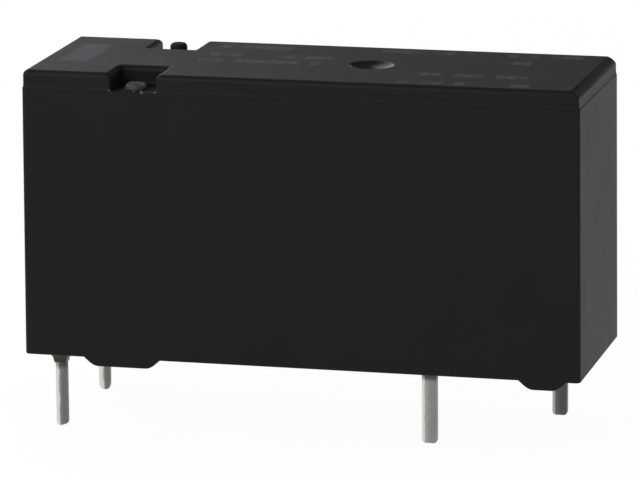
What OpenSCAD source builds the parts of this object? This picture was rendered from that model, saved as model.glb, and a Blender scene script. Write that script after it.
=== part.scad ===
// Slim sealed power relay for a circuit board, with one normally open contact. Millimetres.
// The origin is the middle of the board's surface under the relay, and +Z points away from the board.
// +X runs from the coil end to the contact end, and -Y is the front.

/* [Case] */
// Length of the case along X
case_l = 28.5; // [25:0.5:36]
// Width of the case along Y
case_w = 10; // [9:0.1:13]
// Height of the case's top above the board
case_h = 15; // [13.5:0.25:18]
// Thickness of the case's side and end walls
wall = 0.7; // [0.5:0.05:0.8]
// Thickness of the case's roof
roof = 0.8; // [0.6:0.05:1.2]
// Radius of the case's upright edges
edge_r = 0.25; // [0.1:0.05:0.5]
// Radius of the edges round the case's top
top_r = 0.3; // [0.1:0.05:0.4]
// How far each wall leans in from the board up to the top
draft = 0.1; // [0.02:0.02:0.2]
// Height of the band above the case's parting line
band_h = 0.9; // [0.5:0.05:1.2]
// How far that band stands back from the walls below it
band_inset = 0.06; // [0.02:0.01:0.2]

/* [Feet] */
// Height of the feet that hold the case's rim off the board
foot_h = 0.45; // [0.2:0.05:0.8]
// Length of the slope at each side of a foot
foot_slope = 0.75; // [0.3:0.05:0.9]
// Flat length of the feet near the coil end
coil_foot_l = 2.45; // [1:0.05:4]
// Distance of those feet from the coil end
coil_foot_at = 5.07; // [4:0.01:8]
// Flat length of the feet near the contact end
contact_foot_l = 0.9; // [0.4:0.05:1.4]
// Distance of those feet from the contact end
contact_foot_at = 1.91; // [1.8:0.01:6]

/* [Top] */
// Length of the notches in the top's front and back edges
notch_l = 2.35; // [1.5:0.1:4]
// How far the front notch reaches in from the front face
front_notch_w = 2.4; // [1.6:0.1:3]
// How far the back notch reaches in from the back face
back_notch_w = 2.7; // [1.6:0.1:3]
// Distance of the notches from the coil end
notch_at = 5.85; // [4:0.05:10]
// Thickness of the plastic under and behind a notch
notch_skin = 0.55; // [0.4:0.05:0.8]
// Diameter of the cut moulding gate that stands in each notch
gate_d = 0.95; // [0.6:0.05:1.2]
// How far the gates lie from the notches' middle, towards the coil end
gate_off = 0.1; // [0:0.05:0.3]
// Distance of the gates from the front and back faces
gate_in = 1.05; // [0.8:0.05:1.2]
// Height of the gate in the back notch
back_gate_h = 0.9; // [0.3:0.05:0.9]
// Height of the gate in the front notch
front_gate_h = 0.28; // [0.2:0.02:0.5]
// Diameter of the dished vent mark
vent_d = 2.3; // [1.5:0.1:3]
// Depth of the vent mark
vent_depth = 0.15; // [0.1:0.05:0.4]
// Distance of the vent mark from the coil end
vent_at = 16.85; // [12:0.05:20]

/* [Base and seal] */
// Thickness of the base plate
base_t = 1.5; // [1:0.1:2]
// Thickness of the partition between the coil and the contacts
partition_t = 0.7; // [0.5:0.05:1]
// Width of the rails that hold the yoke on the base
rail_w = 0.8; // [0.5:0.05:0.9]
// How far the rails stay below the coil
rail_drop = 0.3; // [0.2:0.05:0.6]
// Thickness of the sealing resin under the base
resin_t = 0.4; // [0.2:0.05:0.8]
// How far the resin lies above the case's rim
resin_recess = 0.2; // [0.1:0.05:0.4]
// Length of the resin drawn down each coil pin
coil_collar_l = 0.8; // [0.4:0.05:1.2]
// Length of the resin drawn down each contact pin
contact_collar_l = 0.4; // [0.3:0.05:1.2]
// How far the resin spreads round a pin where it starts
collar_spread = 0.7; // [0.3:0.05:0.8]

/* [Pins] */
// Length of the pins below the board's surface
pin_l = 3.5; // [2.5:0.1:5]
// How much shorter the common pin is
common_pin_cut = 0.2; // [0:0.05:0.5]
// Distance of the front and back rows of pins from the case's sides
row_inset = 1.25; // [1.15:0.05:1.5]
// Side of the square coil pins
coil_pin_w = 0.6; // [0.4:0.05:0.6]
// Distance of the coil pins from the coil end
coil_pin_at = 1.56; // [1.4:0.02:2.2]
// Height of the coil pins above the base
post_h = 4; // [3:0.1:5]
// Width of the contact pins along X
contact_pin_w = 0.75; // [0.6:0.05:1.2]
// Thickness of the contact terminals' sheet
terminal_t = 0.5; // [0.4:0.05:0.6]
// Distance of the normally open pin from the contact end
contact_pin_at = 2.74; // [2.2:0.02:4]
// Distance along X between the two contact pins
contact_pitch = 5.1; // [4:0.1:7]
// Bevel along the coil pins' edges
coil_pin_bevel = 0.14; // [0.04:0.02:0.16]
// Bevel along the contact pins' edges
pin_bevel = 0.08; // [0.04:0.02:0.12]
// Length of the pins' tapered tips
tip_l = 0.3; // [0.1:0.05:0.5]
// How much each side of a tip comes in
tip_in = 0.16; // [0.05:0.01:0.18]

/* [Magnet] */
// Thickness of the yoke
yoke_t = 1.2; // [0.8:0.1:1.5]
// How far the yoke's upright leg stays below the coil's top
yoke_drop = 0.6; // [0.3:0.1:1]
// Diameter of the core
core_d = 3.6; // [3:0.1:4]
// Diameter of the core's pole face
pole_d = 5.4; // [4.5:0.1:6]
// Thickness of the pole's head
pole_t = 0.5; // [0.3:0.05:0.8]
// Diameter of the core's end where it passes through the yoke
spigot_d = 2.8; // [2:0.1:2.9]
// Diameter of the head that is upset behind the yoke
stake_d = 3.4; // [3.2:0.1:4]
// Thickness of that upset head
stake_t = 0.2; // [0.1:0.05:0.4]
// Wall of the bobbin's tube
bobbin_wall = 0.5; // [0.3:0.05:0.7]
// Thickness of the bobbin's flanges
flange_t = 0.8; // [0.5:0.05:1]
// Gap between the bobbin and the case's side walls
coil_side_gap = 0.35; // [0.2:0.05:0.6]
// How far the winding stays inside the flanges' edges
winding_margin = 0.15; // [0.1:0.05:0.5]
// Diameter of the coil's wire
wire_d = 0.12; // [0.08:0.01:0.15]
// Turns of wire wrapped round each coil pin
wrap_turns = 5; // [3:1:8]

/* [Armature and card] */
// Thickness of the armature
armature_t = 1; // [0.7:0.05:1.2]
// Width of the armature's tongue
tongue_w = 1.6; // [1:0.1:2]
// Thickness of the hinge spring
hinge_spring_t = 0.15; // [0.1:0.01:0.2]
// Width of the hinge spring
hinge_spring_w = 3; // [2:0.1:4]
// Depth of the hinge spring's seat in the base
hinge_seat = 0.8; // [0.5:0.05:0.9]
// Height above the armature's heel at which the hinge spring bears on it
hinge_touch = 0.8; // [0.5:0.05:1.2]
// Height of the hinge spring's bend above that place
hinge_rise = 0.8; // [0.5:0.05:1.2]
// Travel of the actuator card
card_travel = 0.8; // [0.6:0.05:0.9]
// Thickness of the card
card_t = 0.9; // [0.6:0.05:1.2]
// Width of the card
card_w = 3.4; // [2.8:0.1:4]
// Width of the guides beside the card
guide_w = 0.8; // [0.5:0.05:1]
// Length of the card's fork beside the tongue
fork_l = 0.6; // [0.3:0.05:0.7]

/* [Contacts] */
// Thickness of the moving spring
spring_t = 0.2; // [0.1:0.02:0.3]
// Width of the moving spring
spring_w = 3.6; // [3:0.1:4.2]
// Height over which the common terminal holds the spring
clamp_h = 2.6; // [2:0.1:3.2]
// Diameter of the contacts
contact_d = 2.4; // [1.8:0.1:3]
// Thickness of a contact's head
contact_t = 0.5; // [0.35:0.05:0.7]
// Height of the dome on the moving contact
dome_h = 0.2; // [0.1:0.02:0.3]
// Distance of the contacts below the card's middle
contact_drop = 2.9; // [2.4:0.1:4]
// Diameter of the contacts' shanks
shank_d = 1.2; // [0.8:0.1:1.5]
// Thickness of the upset tail behind a contact
tail_t = 0.2; // [0.1:0.05:0.3]
// Diameter of the spring's rivets
rivet_d = 0.9; // [0.6:0.05:1.1]
// Diameter of the rivets' heads
rivet_head_d = 1.5; // [1.3:0.1:1.8]
// Thickness of the rivets' heads
rivet_head_t = 0.3; // [0.2:0.05:0.4]
// Distance between the rivets
rivet_pitch = 1.9; // [1.85:0.05:2.2]
// Height of the web that joins the normally open pin to its plate
web_h = 2.4; // [1.5:0.1:4]
// Margin of sheet round a contact or a spring
sheet_margin = 0.5; // [0.3:0.05:0.8]

/* [Clearances] */
// Gap between pieces that are pushed together
fit = 0.03; // [0.02:0.01:0.05]
// Gap between the base and the case's walls
base_fit = 0.05; // [0.03:0.01:0.08]
// Gap beside a sliding or resting piece
slide_gap = 0.05; // [0.03:0.01:0.1]
// Gap between the closed armature and the yoke
hinge_gap = 0.05; // [0.03:0.01:0.1]
// Height of the armature's heel above the base
heel_gap = 0.2; // [0.15:0.05:0.4]
// Gap between the open armature and the case's end
swing_gap = 0.3; // [0.2:0.05:0.5]
// Gap between the armature and the wire on the coil pins
pin_air = 0.15; // [0.1:0.05:0.4]
// Head room over the card, and under it at the partition
head_gap = 0.2; // [0.1:0.05:0.4]
// Gap between the core's upset head and the partition
stake_gap = 0.1; // [0.05:0.05:0.4]
// Gap between the partition and the common terminal's rivets
barrier_gap = 1.1; // [0.5:0.1:2]
// Gap left between the contacts at full travel
closed_gap = 0.03; // [0.02:0.01:0.06]

/* [Hidden] */
$fn = 48;
arc_steps = 6;
front = -1;
back = 1;

// Heights above the board
rim_z = foot_h;
resin_z = rim_z + resin_recess;
base_z = resin_z + resin_t;
floor_z = base_z + base_t;
parting_z = case_h - band_h;
ceiling_z = case_h - max(roof, band_h + notch_skin);
card_top_z = ceiling_z - head_gap;
card_z = card_top_z - card_t;
push_z = card_z + card_t / 2;
coil_z = floor_z + yoke_t;
coil_top_z = card_z - slide_gap;
axis_z = (coil_z + coil_top_z) / 2;
pivot_z = floor_z + heel_gap;
flex_z = floor_z + clamp_h;
contact_z = push_z - contact_drop;
wrap_h = wrap_turns * wire_d;
wrap_z = floor_z + post_h - 2 * wrap_h;

// Angles that the armature and the moving spring turn through
armature_swing = asin(card_travel / (push_z - pivot_z));
spring_swing = asin(card_travel / (push_z - flex_z));

// Places along X, from the coil end
heel_x = wall + swing_gap + (card_top_z - pivot_z) * sin(armature_swing) + armature_t;
yoke_x = heel_x + hinge_gap;
coil_x = yoke_x + pole_t;
open_pin_x = case_l - contact_pin_at;
common_pin_x = open_pin_x - contact_pitch;
common_x = common_pin_x - contact_pin_w / 2;
spring_x = common_x + terminal_t;
partition_x = common_x - rivet_head_t - barrier_gap - partition_t;
yoke_end_x = partition_x - stake_gap - stake_t;
coil_end_x = yoke_end_x - yoke_t;
card_x = heel_x - (card_z - pivot_z) * tan(armature_swing) + slide_gap;
card_end_x = spring_x - slide_gap;

// The moving contact's dome rolls as the spring bends, and the fixed contact meets its highest point
contact_r = contact_d / 2;
dome_r = (contact_r * contact_r + dome_h * dome_h) / (2 * dome_h);
reach_open = spring_t / 2 + contact_t;
dome_back = reach_open - dome_r;
reach_closed = dome_r + dome_back * cos(spring_swing) + (contact_z - flex_z) * sin(spring_swing);
fixed_face_x = spring_x + spring_t / 2 + reach_closed + closed_gap;
open_x = fixed_face_x + contact_t;

// Widths along Y
row_pitch = case_w - 2 * row_inset;
inside_w = case_w - 2 * wall;
inside_l = case_l - 2 * wall;
magnet_w = row_pitch - coil_pin_w - 2 * (wire_d + pin_air);
flange_w = inside_w - 2 * coil_side_gap;
winding_d = min(flange_w, coil_top_z - coil_z) - 2 * winding_margin;
tube_d = core_d + 2 * (fit + bobbin_wall);

// Shapes are placed by their distance from the coil end
module from_coil_end() {
    translate([-case_l / 2, 0, 0]) children();
}

// A flat outline in X and Z, given thickness along Y about the middle plane
module across(width) {
    translate([0, width / 2, 0]) rotate([90, 0, 0]) linear_extrude(width) children();
}

// A flat outline in Y and Z, given thickness along X
module sheet_x(thickness) {
    rotate([90, 0, 90]) linear_extrude(thickness) children();
}

// A round bar along X
module bar_x(d, length) {
    rotate([0, 90, 0]) cylinder(h = length, d = d);
}

// A round bar between two points
module bar_between(p, q, d) {
    run = q - p;
    translate(p)
        rotate([0, acos(run[2] / norm(run)), atan2(run[1], run[0])])
            cylinder(h = norm(run), d = d);
}

// A box that starts a distance from the middle plane, on the front or the back
module beside(side, inner, size) {
    translate([0, side > 0 ? inner : -inner - size[1], 0]) cube(size);
}

// A flat strip between two points of a plane
module strip(p, q, t) {
    run = q - p;
    translate(p) rotate(atan2(run[1], run[0])) translate([0, -t / 2]) square([norm(run), t]);
}

// A quarter circle of points about a centre
function arc(x, y, r, start) = [
    for (i = [0:arc_steps])
        let (a = start + 90 * i / arc_steps)
        [x + r * cos(a), y + r * sin(a)]
];

// A rectangle with rounded corners
function rounded(l, w, r) =
    let (x = l / 2 - r, y = w / 2 - r)
    concat(arc(x, y, r, 0), arc(-x, y, r, 90), arc(-x, -y, r, 180), arc(x, -y, r, 270));

// A rectangle that stands on the parting line, with its two top corners rounded
function arch(w, h, r) =
    let (x = w / 2 - r, y = h - r)
    concat([[-w / 2, 0], [w / 2, 0]], arc(x, y, r, 0), arc(-x, y, r, 90));

// A foot whose slopes flatten out towards its sole, joined to the wall over it
function slope_drop(t) = foot_h * sin(90 * t);
function foot_outline(flat) = concat(
    [[-flat / 2 - foot_slope, foot_h]],
    [for (i = [0:arc_steps]) [-flat / 2 - foot_slope * (1 - i / arc_steps), -slope_drop(i / arc_steps)]],
    [for (i = [0:arc_steps]) [flat / 2 + foot_slope * i / arc_steps, -slope_drop(1 - i / arc_steps)]],
    [[flat / 2 + foot_slope, foot_h]]
);

module foot(x, flat, side) {
    translate([x, side * (case_w - wall) / 2, rim_z]) across(wall) polygon(foot_outline(flat));
}

// An outline whose two sides lean in towards the top
function leaning(w) = [
    [-w / 2 - draft, -case_h], [w / 2 + draft, -case_h], [w / 2 - draft, case_h], [-w / 2 + draft, case_h]
];

module case_outside() {
    intersection() {
        union() {
            translate([0, 0, rim_z]) linear_extrude(parting_z - rim_z) polygon(rounded(case_l, case_w, edge_r));
            from_coil_end() for (side = [front, back]) {
                foot(coil_foot_at, coil_foot_l, side);
                foot(case_l - contact_foot_at, contact_foot_l, side);
            }
        }
        across(2 * case_w) polygon(leaning(case_l));
        translate([-case_l, 0, 0]) sheet_x(2 * case_l) polygon(leaning(case_w));
    }
    band_l = case_l - 2 * (draft + band_inset);
    band_w = case_w - 2 * (draft + band_inset);
    translate([0, 0, parting_z]) intersection() {
        linear_extrude(band_h) polygon(rounded(band_l, band_w, edge_r));
        across(case_w) polygon(arch(band_l, band_h, top_r));
        translate([-case_l / 2, 0, 0]) sheet_x(case_l) polygon(arch(band_w, band_h, top_r));
    }
}

// A box at one notch, grown by a skin towards the inside of the case
module notch_box(side, skin, bottom, top) {
    depth = (side == front ? front_notch_w : back_notch_w) + skin;
    length = notch_l + 2 * skin;
    translate([notch_at - length / 2, 0, bottom])
        beside(side, case_w / 2 - depth, [length, depth, top - bottom]);
}

module case_inside() {
    difference() {
        translate([-inside_l / 2, -inside_w / 2, 0]) cube([inside_l, inside_w, case_h - roof]);
        from_coil_end() for (side = [front, back])
            notch_box(side, notch_skin, parting_z - notch_skin, case_h);
    }
}

// The stub of a cut moulding gate, with a rounded top
module gate(side, height) {
    from_coil_end() translate([notch_at - gate_off, side * (case_w / 2 - gate_in), parting_z]) {
        translate([0, 0, -notch_skin / 2]) cylinder(h = notch_skin / 2 + height / 2, d = gate_d);
        intersection() {
            cylinder(h = height, d = gate_d);
            translate([0, 0, height - gate_d]) sphere(r = gate_d);
        }
    }
}

module case() color("#232428") {
    difference() {
        case_outside();
        case_inside();
        from_coil_end() {
            for (side = [front, back]) notch_box(side, 0, parting_z, case_h + band_h);
            dish_r = (vent_d * vent_d / 4 + vent_depth * vent_depth) / (2 * vent_depth);
            translate([vent_at, 0, case_h - vent_depth + dish_r]) sphere(r = dish_r);
        }
    }
    gate(back, back_gate_h);
    gate(front, front_gate_h);
}

// The section of a pin with bevelled edges
module pin_section(w, t, b) {
    polygon([
        [-w / 2 + b, -t / 2], [w / 2 - b, -t / 2], [w / 2, -t / 2 + b], [w / 2, t / 2 - b],
        [w / 2 - b, t / 2], [-w / 2 + b, t / 2], [-w / 2, t / 2 - b], [-w / 2, -t / 2 + b]
    ]);
}

// The outline of a pin with a tapered tip
module pin_outline(w, length, top) {
    polygon([
        [-w / 2 + tip_in, -length], [w / 2 - tip_in, -length], [w / 2, -length + tip_l],
        [w / 2, top], [-w / 2, top], [-w / 2, -length + tip_l]
    ]);
}

module pin(w, t, b, length, top) {
    intersection() {
        translate([0, 0, -length]) linear_extrude(length + top) pin_section(w, t, b);
        across(t) pin_outline(w, length, top);
        translate([-w / 2, 0, 0]) sheet_x(w) pin_outline(t, length, top);
    }
}

// The four places of the pins, each with its size and the resin drawn down it
module at_coil_pin(side) {
    from_coil_end() translate([coil_pin_at, side * row_pitch / 2, 0]) children();
}

module at_common_pin() {
    from_coil_end() translate([common_pin_x, front * row_pitch / 2, 0]) children();
}

module at_open_pin() {
    from_coil_end() translate([open_pin_x, back * row_pitch / 2, 0]) children();
}

module base() color("#2c2b2a") {
    base_l = inside_l - 2 * base_fit;
    base_w = inside_w - 2 * base_fit;
    difference() {
        union() {
            translate([-base_l / 2, -base_w / 2, base_z]) cube([base_l, base_w, base_t]);
            from_coil_end() {
                translate([partition_x, -base_w / 2, base_z])
                    cube([partition_t, base_w, card_z - head_gap - base_z]);
                for (side = [front, back]) base_rail(side);
            }
        }
        for (side = [front, back]) at_coil_pin(side) pin_slot(coil_pin_w, coil_pin_w);
        at_common_pin() pin_slot(contact_pin_w, terminal_t);
        at_open_pin() pin_slot(contact_pin_w, terminal_t);
        from_coil_end() translate([wall + swing_gap - fit, -hinge_spring_w / 2 - fit, floor_z - hinge_seat])
            cube([hinge_spring_t + 2 * fit, hinge_spring_w + 2 * fit, base_t]);
    }
}

module base_rail(side) {
    size = [coil_end_x - coil_x, rail_w, coil_z - rail_drop - base_z];
    translate([coil_x, 0, base_z]) beside(side, magnet_w / 2 + fit, size);
}

module pin_slot(w, t) {
    translate([-w / 2 - fit, -t / 2 - fit, base_z - base_t]) cube([w + 2 * fit, t + 2 * fit, 3 * base_t]);
}

// Resin drawn down a pin in a hollow curve
module collar(w, t, length) {
    pin_r = norm([w / 2, t / 2]);
    rotate_extrude() polygon(concat(
        [[0, resin_z + resin_t / 2], [pin_r + collar_spread, resin_z + resin_t / 2]],
        [for (i = [0:arc_steps]) let (f = i / arc_steps)
            [pin_r + collar_spread * (1 - f) * (1 - f), resin_z - length * f]],
        [[0, resin_z - length]]
    ));
}

module sealing_resin() color("#2f2d22") {
    difference() {
        union() {
            translate([-inside_l / 2, -inside_w / 2, resin_z]) cube([inside_l, inside_w, resin_t]);
            intersection() {
                union() {
                    for (side = [front, back])
                        at_coil_pin(side) collar(coil_pin_w, coil_pin_w, coil_collar_l);
                    at_common_pin() collar(contact_pin_w, terminal_t, contact_collar_l);
                    at_open_pin() collar(contact_pin_w, terminal_t, contact_collar_l);
                }
                translate([-inside_l / 2, -inside_w / 2, -pin_l])
                    cube([inside_l, inside_w, pin_l + case_h]);
            }
        }
        for (side = [front, back]) at_coil_pin(side) pin_hole(coil_pin_w, coil_pin_w, coil_pin_bevel);
        at_common_pin() pin_hole(contact_pin_w, terminal_t, pin_bevel);
        at_open_pin() pin_hole(contact_pin_w, terminal_t, pin_bevel);
    }
}

module pin_hole(w, t, b) {
    translate([0, 0, -pin_l]) linear_extrude(pin_l + case_h) pin_section(w, t, b);
}

// Height of a coil lead's wire at a distance from the coil end
lead_start_x = coil_pin_at + coil_pin_w / 2 + wire_d / 2;
lead_end_x = coil_x + flange_t + wire_d;
lead_start_z = wrap_z + wrap_h / 2;
lead_slope = (axis_z - lead_start_z) / (lead_end_x - lead_start_x);
function lead_z(x) = lead_start_z + lead_slope * (x - lead_start_x);
lead_y = winding_d / 2 + wire_d / 2 + fit;

module bobbin() color("#e6e2d6") {
    flange_h = coil_top_z - coil_z;
    from_coil_end() difference() {
        union() {
            for (x = [coil_x, coil_end_x - flange_t]) {
                translate([x, -flange_w / 2, coil_z]) cube([flange_t, flange_w, flange_h]);
                for (side = [front, back]) translate([x, 0, axis_z])
                    beside(side, card_w / 2 + slide_gap, [flange_t, guide_w, card_top_z - axis_z]);
            }
            translate([coil_x, 0, axis_z]) bar_x(tube_d, coil_end_x - coil_x);
        }
        translate([coil_x - flange_t, 0, axis_z])
            bar_x(core_d + 2 * fit, coil_end_x - coil_x + 2 * flange_t);
        for (side = [front, back]) lead_notch(side);
    }
}

module lead_notch(side) {
    bottom = lead_z(coil_x) - 2 * wire_d;
    size = [2 * flange_t + fit, flange_w, axis_z + 2 * wire_d - bottom];
    translate([coil_x - flange_t, 0, bottom]) beside(side, winding_d / 2 - wire_d, size);
}

module coil_winding() color("#a5552c") {
    length = coil_end_x - coil_x - 2 * flange_t;
    from_coil_end() translate([coil_x + flange_t, 0, axis_z]) difference() {
        bar_x(winding_d, length);
        translate([-length, 0, 0]) bar_x(tube_d + 2 * fit, 3 * length);
    }
}

module core() color("#9a9c9e") {
    from_coil_end() translate([0, 0, axis_z]) {
        translate([yoke_x, 0, 0]) bar_x(pole_d, pole_t);
        translate([yoke_x + pole_t / 2, 0, 0]) bar_x(core_d, coil_end_x - yoke_x - pole_t / 2);
        translate([coil_end_x - yoke_t, 0, 0]) bar_x(spigot_d, 2 * yoke_t + stake_t);
        translate([yoke_end_x, 0, 0]) bar_x(stake_d, stake_t);
    }
}

module yoke() color("#8d9092") {
    yoke_top_z = coil_top_z - yoke_drop;
    from_coil_end() difference() {
        across(magnet_w) polygon([
            [yoke_x, floor_z], [yoke_end_x, floor_z], [yoke_end_x, yoke_top_z],
            [coil_end_x, yoke_top_z], [coil_end_x, coil_z], [yoke_x, coil_z]
        ]);
        translate([coil_end_x - yoke_t, 0, axis_z]) bar_x(spigot_d + 2 * fit, 3 * yoke_t);
    }
}

// The armature is drawn closed, then leaned back to its open rest about the heel
module armature() color("#85888b") {
    shoulder_z = card_z - head_gap;
    from_coil_end() translate([heel_x, 0, pivot_z]) rotate([0, -armature_swing, 0])
        translate([-armature_t, 0, 0]) sheet_x(armature_t) polygon([
            [-magnet_w / 2, 0], [magnet_w / 2, 0], [magnet_w / 2, shoulder_z - pivot_z],
            [tongue_w / 2, shoulder_z - pivot_z], [tongue_w / 2, card_top_z - pivot_z],
            [-tongue_w / 2, card_top_z - pivot_z], [-tongue_w / 2, shoulder_z - pivot_z],
            [-magnet_w / 2, shoulder_z - pivot_z]
        ]);
}

// A bent leaf that is planted in the base and bears on the armature's back, just above the heel
module hinge_spring() color("#c9b37a") {
    touch_z = pivot_z + hinge_touch;
    bend_z = touch_z + hinge_rise;
    leg_x = wall + swing_gap + hinge_spring_t / 2;
    back_x = heel_x - armature_t / cos(armature_swing) - hinge_touch * tan(armature_swing);
    tip_x = back_x - slide_gap - hinge_spring_t / 2;
    from_coil_end() across(hinge_spring_w) {
        strip([leg_x, floor_z - hinge_seat], [leg_x, bend_z], hinge_spring_t);
        strip([leg_x, bend_z - hinge_spring_t], [tip_x, touch_z], hinge_spring_t);
    }
}

// The card slides over the coil: a fork stands beside the armature's tongue, and a nose meets the spring
module actuator_card() color("#d8cfae") {
    fork_gap = tongue_w / 2 + slide_gap;
    nose_w = spring_w / 2;
    nose_x = partition_x + partition_t;
    from_coil_end() translate([0, 0, card_z]) linear_extrude(card_t) polygon([
        [card_x - fork_l, -card_w / 2], [nose_x, -card_w / 2], [nose_x + fork_l, -nose_w / 2],
        [card_end_x, -nose_w / 2], [card_end_x, nose_w / 2], [nose_x + fork_l, nose_w / 2],
        [nose_x, card_w / 2], [card_x - fork_l, card_w / 2], [card_x - fork_l, fork_gap],
        [card_x, fork_gap], [card_x, -fork_gap], [card_x - fork_l, -fork_gap]
    ]);
}

module moving_spring() color("#c08a4e") {
    bottom_z = floor_z + heel_gap;
    from_coil_end() translate([spring_x, 0, 0]) sheet_x(spring_t) difference() {
        translate([-spring_w / 2, bottom_z]) square([spring_w, card_top_z - bottom_z]);
        rivet_places() circle(d = rivet_d + 2 * fit);
        translate([0, contact_z]) circle(d = shank_d + 2 * fit);
    }
}

module rivet_places() {
    for (side = [front, back])
        translate([side * rivet_pitch / 2, floor_z + clamp_h / 2]) children();
}

module spring_rivets() color("#b9a06a") {
    left_x = common_x - rivet_head_t;
    right_x = spring_x + spring_t;
    from_coil_end() for (side = [front, back])
        translate([0, side * rivet_pitch / 2, floor_z + clamp_h / 2]) {
            translate([left_x, 0, 0]) bar_x(rivet_head_d, rivet_head_t);
            translate([left_x, 0, 0]) bar_x(rivet_d, right_x + rivet_head_t - left_x);
            translate([right_x, 0, 0]) bar_x(rivet_head_d, rivet_head_t);
        }
}

// A contact rivet turned about X: an upset tail, a shank through a sheet, and a head given by its outline
module contact_rivet(sheet_t, head) {
    tail_r = (shank_d / 2 + contact_r) / 2;
    rotate([0, 90, 0]) rotate_extrude() polygon(concat(
        [[0, -tail_t], [tail_r, -tail_t], [tail_r, 0], [shank_d / 2, 0], [shank_d / 2, sheet_t]], head
    ));
}

module moving_contact() color("#d9d9d4") {
    rim_a = asin(contact_r / dome_r);
    crown = spring_t + contact_t;
    head = concat(
        [[contact_r, spring_t]],
        [for (i = [0:arc_steps]) let (a = rim_a * (1 - i / arc_steps))
            [dome_r * sin(a), crown - dome_r + dome_r * cos(a)]]
    );
    from_coil_end() translate([spring_x, 0, contact_z]) contact_rivet(spring_t, head);
}

module fixed_contact() color("#dcdcd8") {
    crown = terminal_t + contact_t;
    head = [[contact_r, terminal_t], [contact_r, crown], [0, crown]];
    from_coil_end() translate([open_x + terminal_t, 0, contact_z]) rotate([0, 0, 180])
        contact_rivet(terminal_t, head);
}

// The common terminal's blade rises from its pin and folds into a plate that holds the spring
module common_terminal() color("#b9bcb6") {
    outer_y = (row_pitch + terminal_t) / 2;
    at_common_pin() pin(contact_pin_w, terminal_t, pin_bevel, pin_l - common_pin_cut, flex_z);
    from_coil_end() translate([common_x, 0, 0]) sheet_x(terminal_t) difference() {
        translate([-outer_y + pin_bevel, floor_z])
            square([outer_y - pin_bevel + spring_w / 2 + sheet_margin, clamp_h]);
        rivet_places() circle(d = rivet_d + 2 * fit);
    }
}

// The normally open terminal's web runs along the wall from its pin, then folds across behind the contacts
module normally_open_terminal() color("#aeb1ab") {
    outer_y = (row_pitch + terminal_t) / 2;
    inner_y = contact_r + sheet_margin;
    top_z = contact_z + contact_r + sheet_margin;
    at_open_pin() pin(contact_pin_w, terminal_t, pin_bevel, pin_l, floor_z + web_h);
    from_coil_end() {
        translate([open_x, outer_y - terminal_t, floor_z])
            cube([open_pin_x - open_x, terminal_t, web_h]);
        translate([open_x, 0, 0]) sheet_x(terminal_t) difference() {
            translate([-inner_y, floor_z]) square([outer_y + inner_y, top_z - floor_z]);
            translate([0, contact_z]) circle(d = shank_d + 2 * fit);
        }
    }
}

module coil_terminal(side) {
    at_coil_pin(side) pin(coil_pin_w, coil_pin_w, coil_pin_bevel, pin_l, floor_z + post_h);
}

module coil_terminal_front() color("#b4b6b0") coil_terminal(front);

module coil_terminal_back() color("#b4b6b0") coil_terminal(back);

// The wire's end is wrapped round its pin, and runs to the side of the winding
module coil_lead(side) {
    at_coil_pin(side) translate([0, 0, wrap_z]) linear_extrude(wrap_h) difference() {
        square(coil_pin_w + 2 * wire_d, center = true);
        pin_section(coil_pin_w, coil_pin_w, coil_pin_bevel);
    }
    from_coil_end() bar_between(
        [lead_start_x, side * row_pitch / 2, lead_start_z], [lead_end_x, side * lead_y, axis_z], wire_d
    );
}

module coil_lead_front() color("#b0602f") coil_lead(front);

module coil_lead_back() color("#b0602f") coil_lead(back);

case();
base();
sealing_resin();
bobbin();
coil_winding();
core();
yoke();
armature();
hinge_spring();
actuator_card();
moving_spring();
moving_contact();
spring_rivets();
common_terminal();
normally_open_terminal();
fixed_contact();
coil_terminal_front();
coil_terminal_back();
coil_lead_front();
coil_lead_back();
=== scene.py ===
"""Dresses the packed relay with finished meshes and materials, from its case down to its contacts."""

import math

import bmesh
import bpy
from mathutils import Matrix, Vector, noise


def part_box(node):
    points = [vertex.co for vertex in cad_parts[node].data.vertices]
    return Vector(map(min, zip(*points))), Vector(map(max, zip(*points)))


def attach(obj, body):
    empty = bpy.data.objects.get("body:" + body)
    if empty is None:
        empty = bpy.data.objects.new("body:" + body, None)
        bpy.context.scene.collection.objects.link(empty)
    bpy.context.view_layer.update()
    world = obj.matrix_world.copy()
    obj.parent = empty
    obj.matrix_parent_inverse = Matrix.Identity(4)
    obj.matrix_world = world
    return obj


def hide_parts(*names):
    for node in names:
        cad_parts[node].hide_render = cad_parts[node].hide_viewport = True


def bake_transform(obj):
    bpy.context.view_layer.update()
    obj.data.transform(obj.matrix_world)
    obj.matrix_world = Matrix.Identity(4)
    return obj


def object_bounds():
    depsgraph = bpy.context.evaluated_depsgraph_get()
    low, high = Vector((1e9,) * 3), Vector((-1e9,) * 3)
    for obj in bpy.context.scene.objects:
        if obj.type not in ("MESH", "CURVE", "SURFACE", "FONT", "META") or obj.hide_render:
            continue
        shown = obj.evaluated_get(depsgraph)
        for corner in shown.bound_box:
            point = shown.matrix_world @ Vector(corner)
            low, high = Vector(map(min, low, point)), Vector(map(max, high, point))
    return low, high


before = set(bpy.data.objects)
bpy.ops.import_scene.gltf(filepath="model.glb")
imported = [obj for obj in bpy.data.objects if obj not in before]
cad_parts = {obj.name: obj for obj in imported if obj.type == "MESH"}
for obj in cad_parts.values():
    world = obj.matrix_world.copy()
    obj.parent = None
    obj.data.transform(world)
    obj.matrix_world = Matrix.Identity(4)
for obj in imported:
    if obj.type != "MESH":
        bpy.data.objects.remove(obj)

bl_info = {
    "name": "Slim relay dresser",
    "version": (1, 0, 0),
    "blender": (4, 5, 0),
    "location": "3D View > Sidebar > Relay",
    "description": "Builds the visible pieces of a slim sealed relay around its solids",
    "category": "Object",
}

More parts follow.
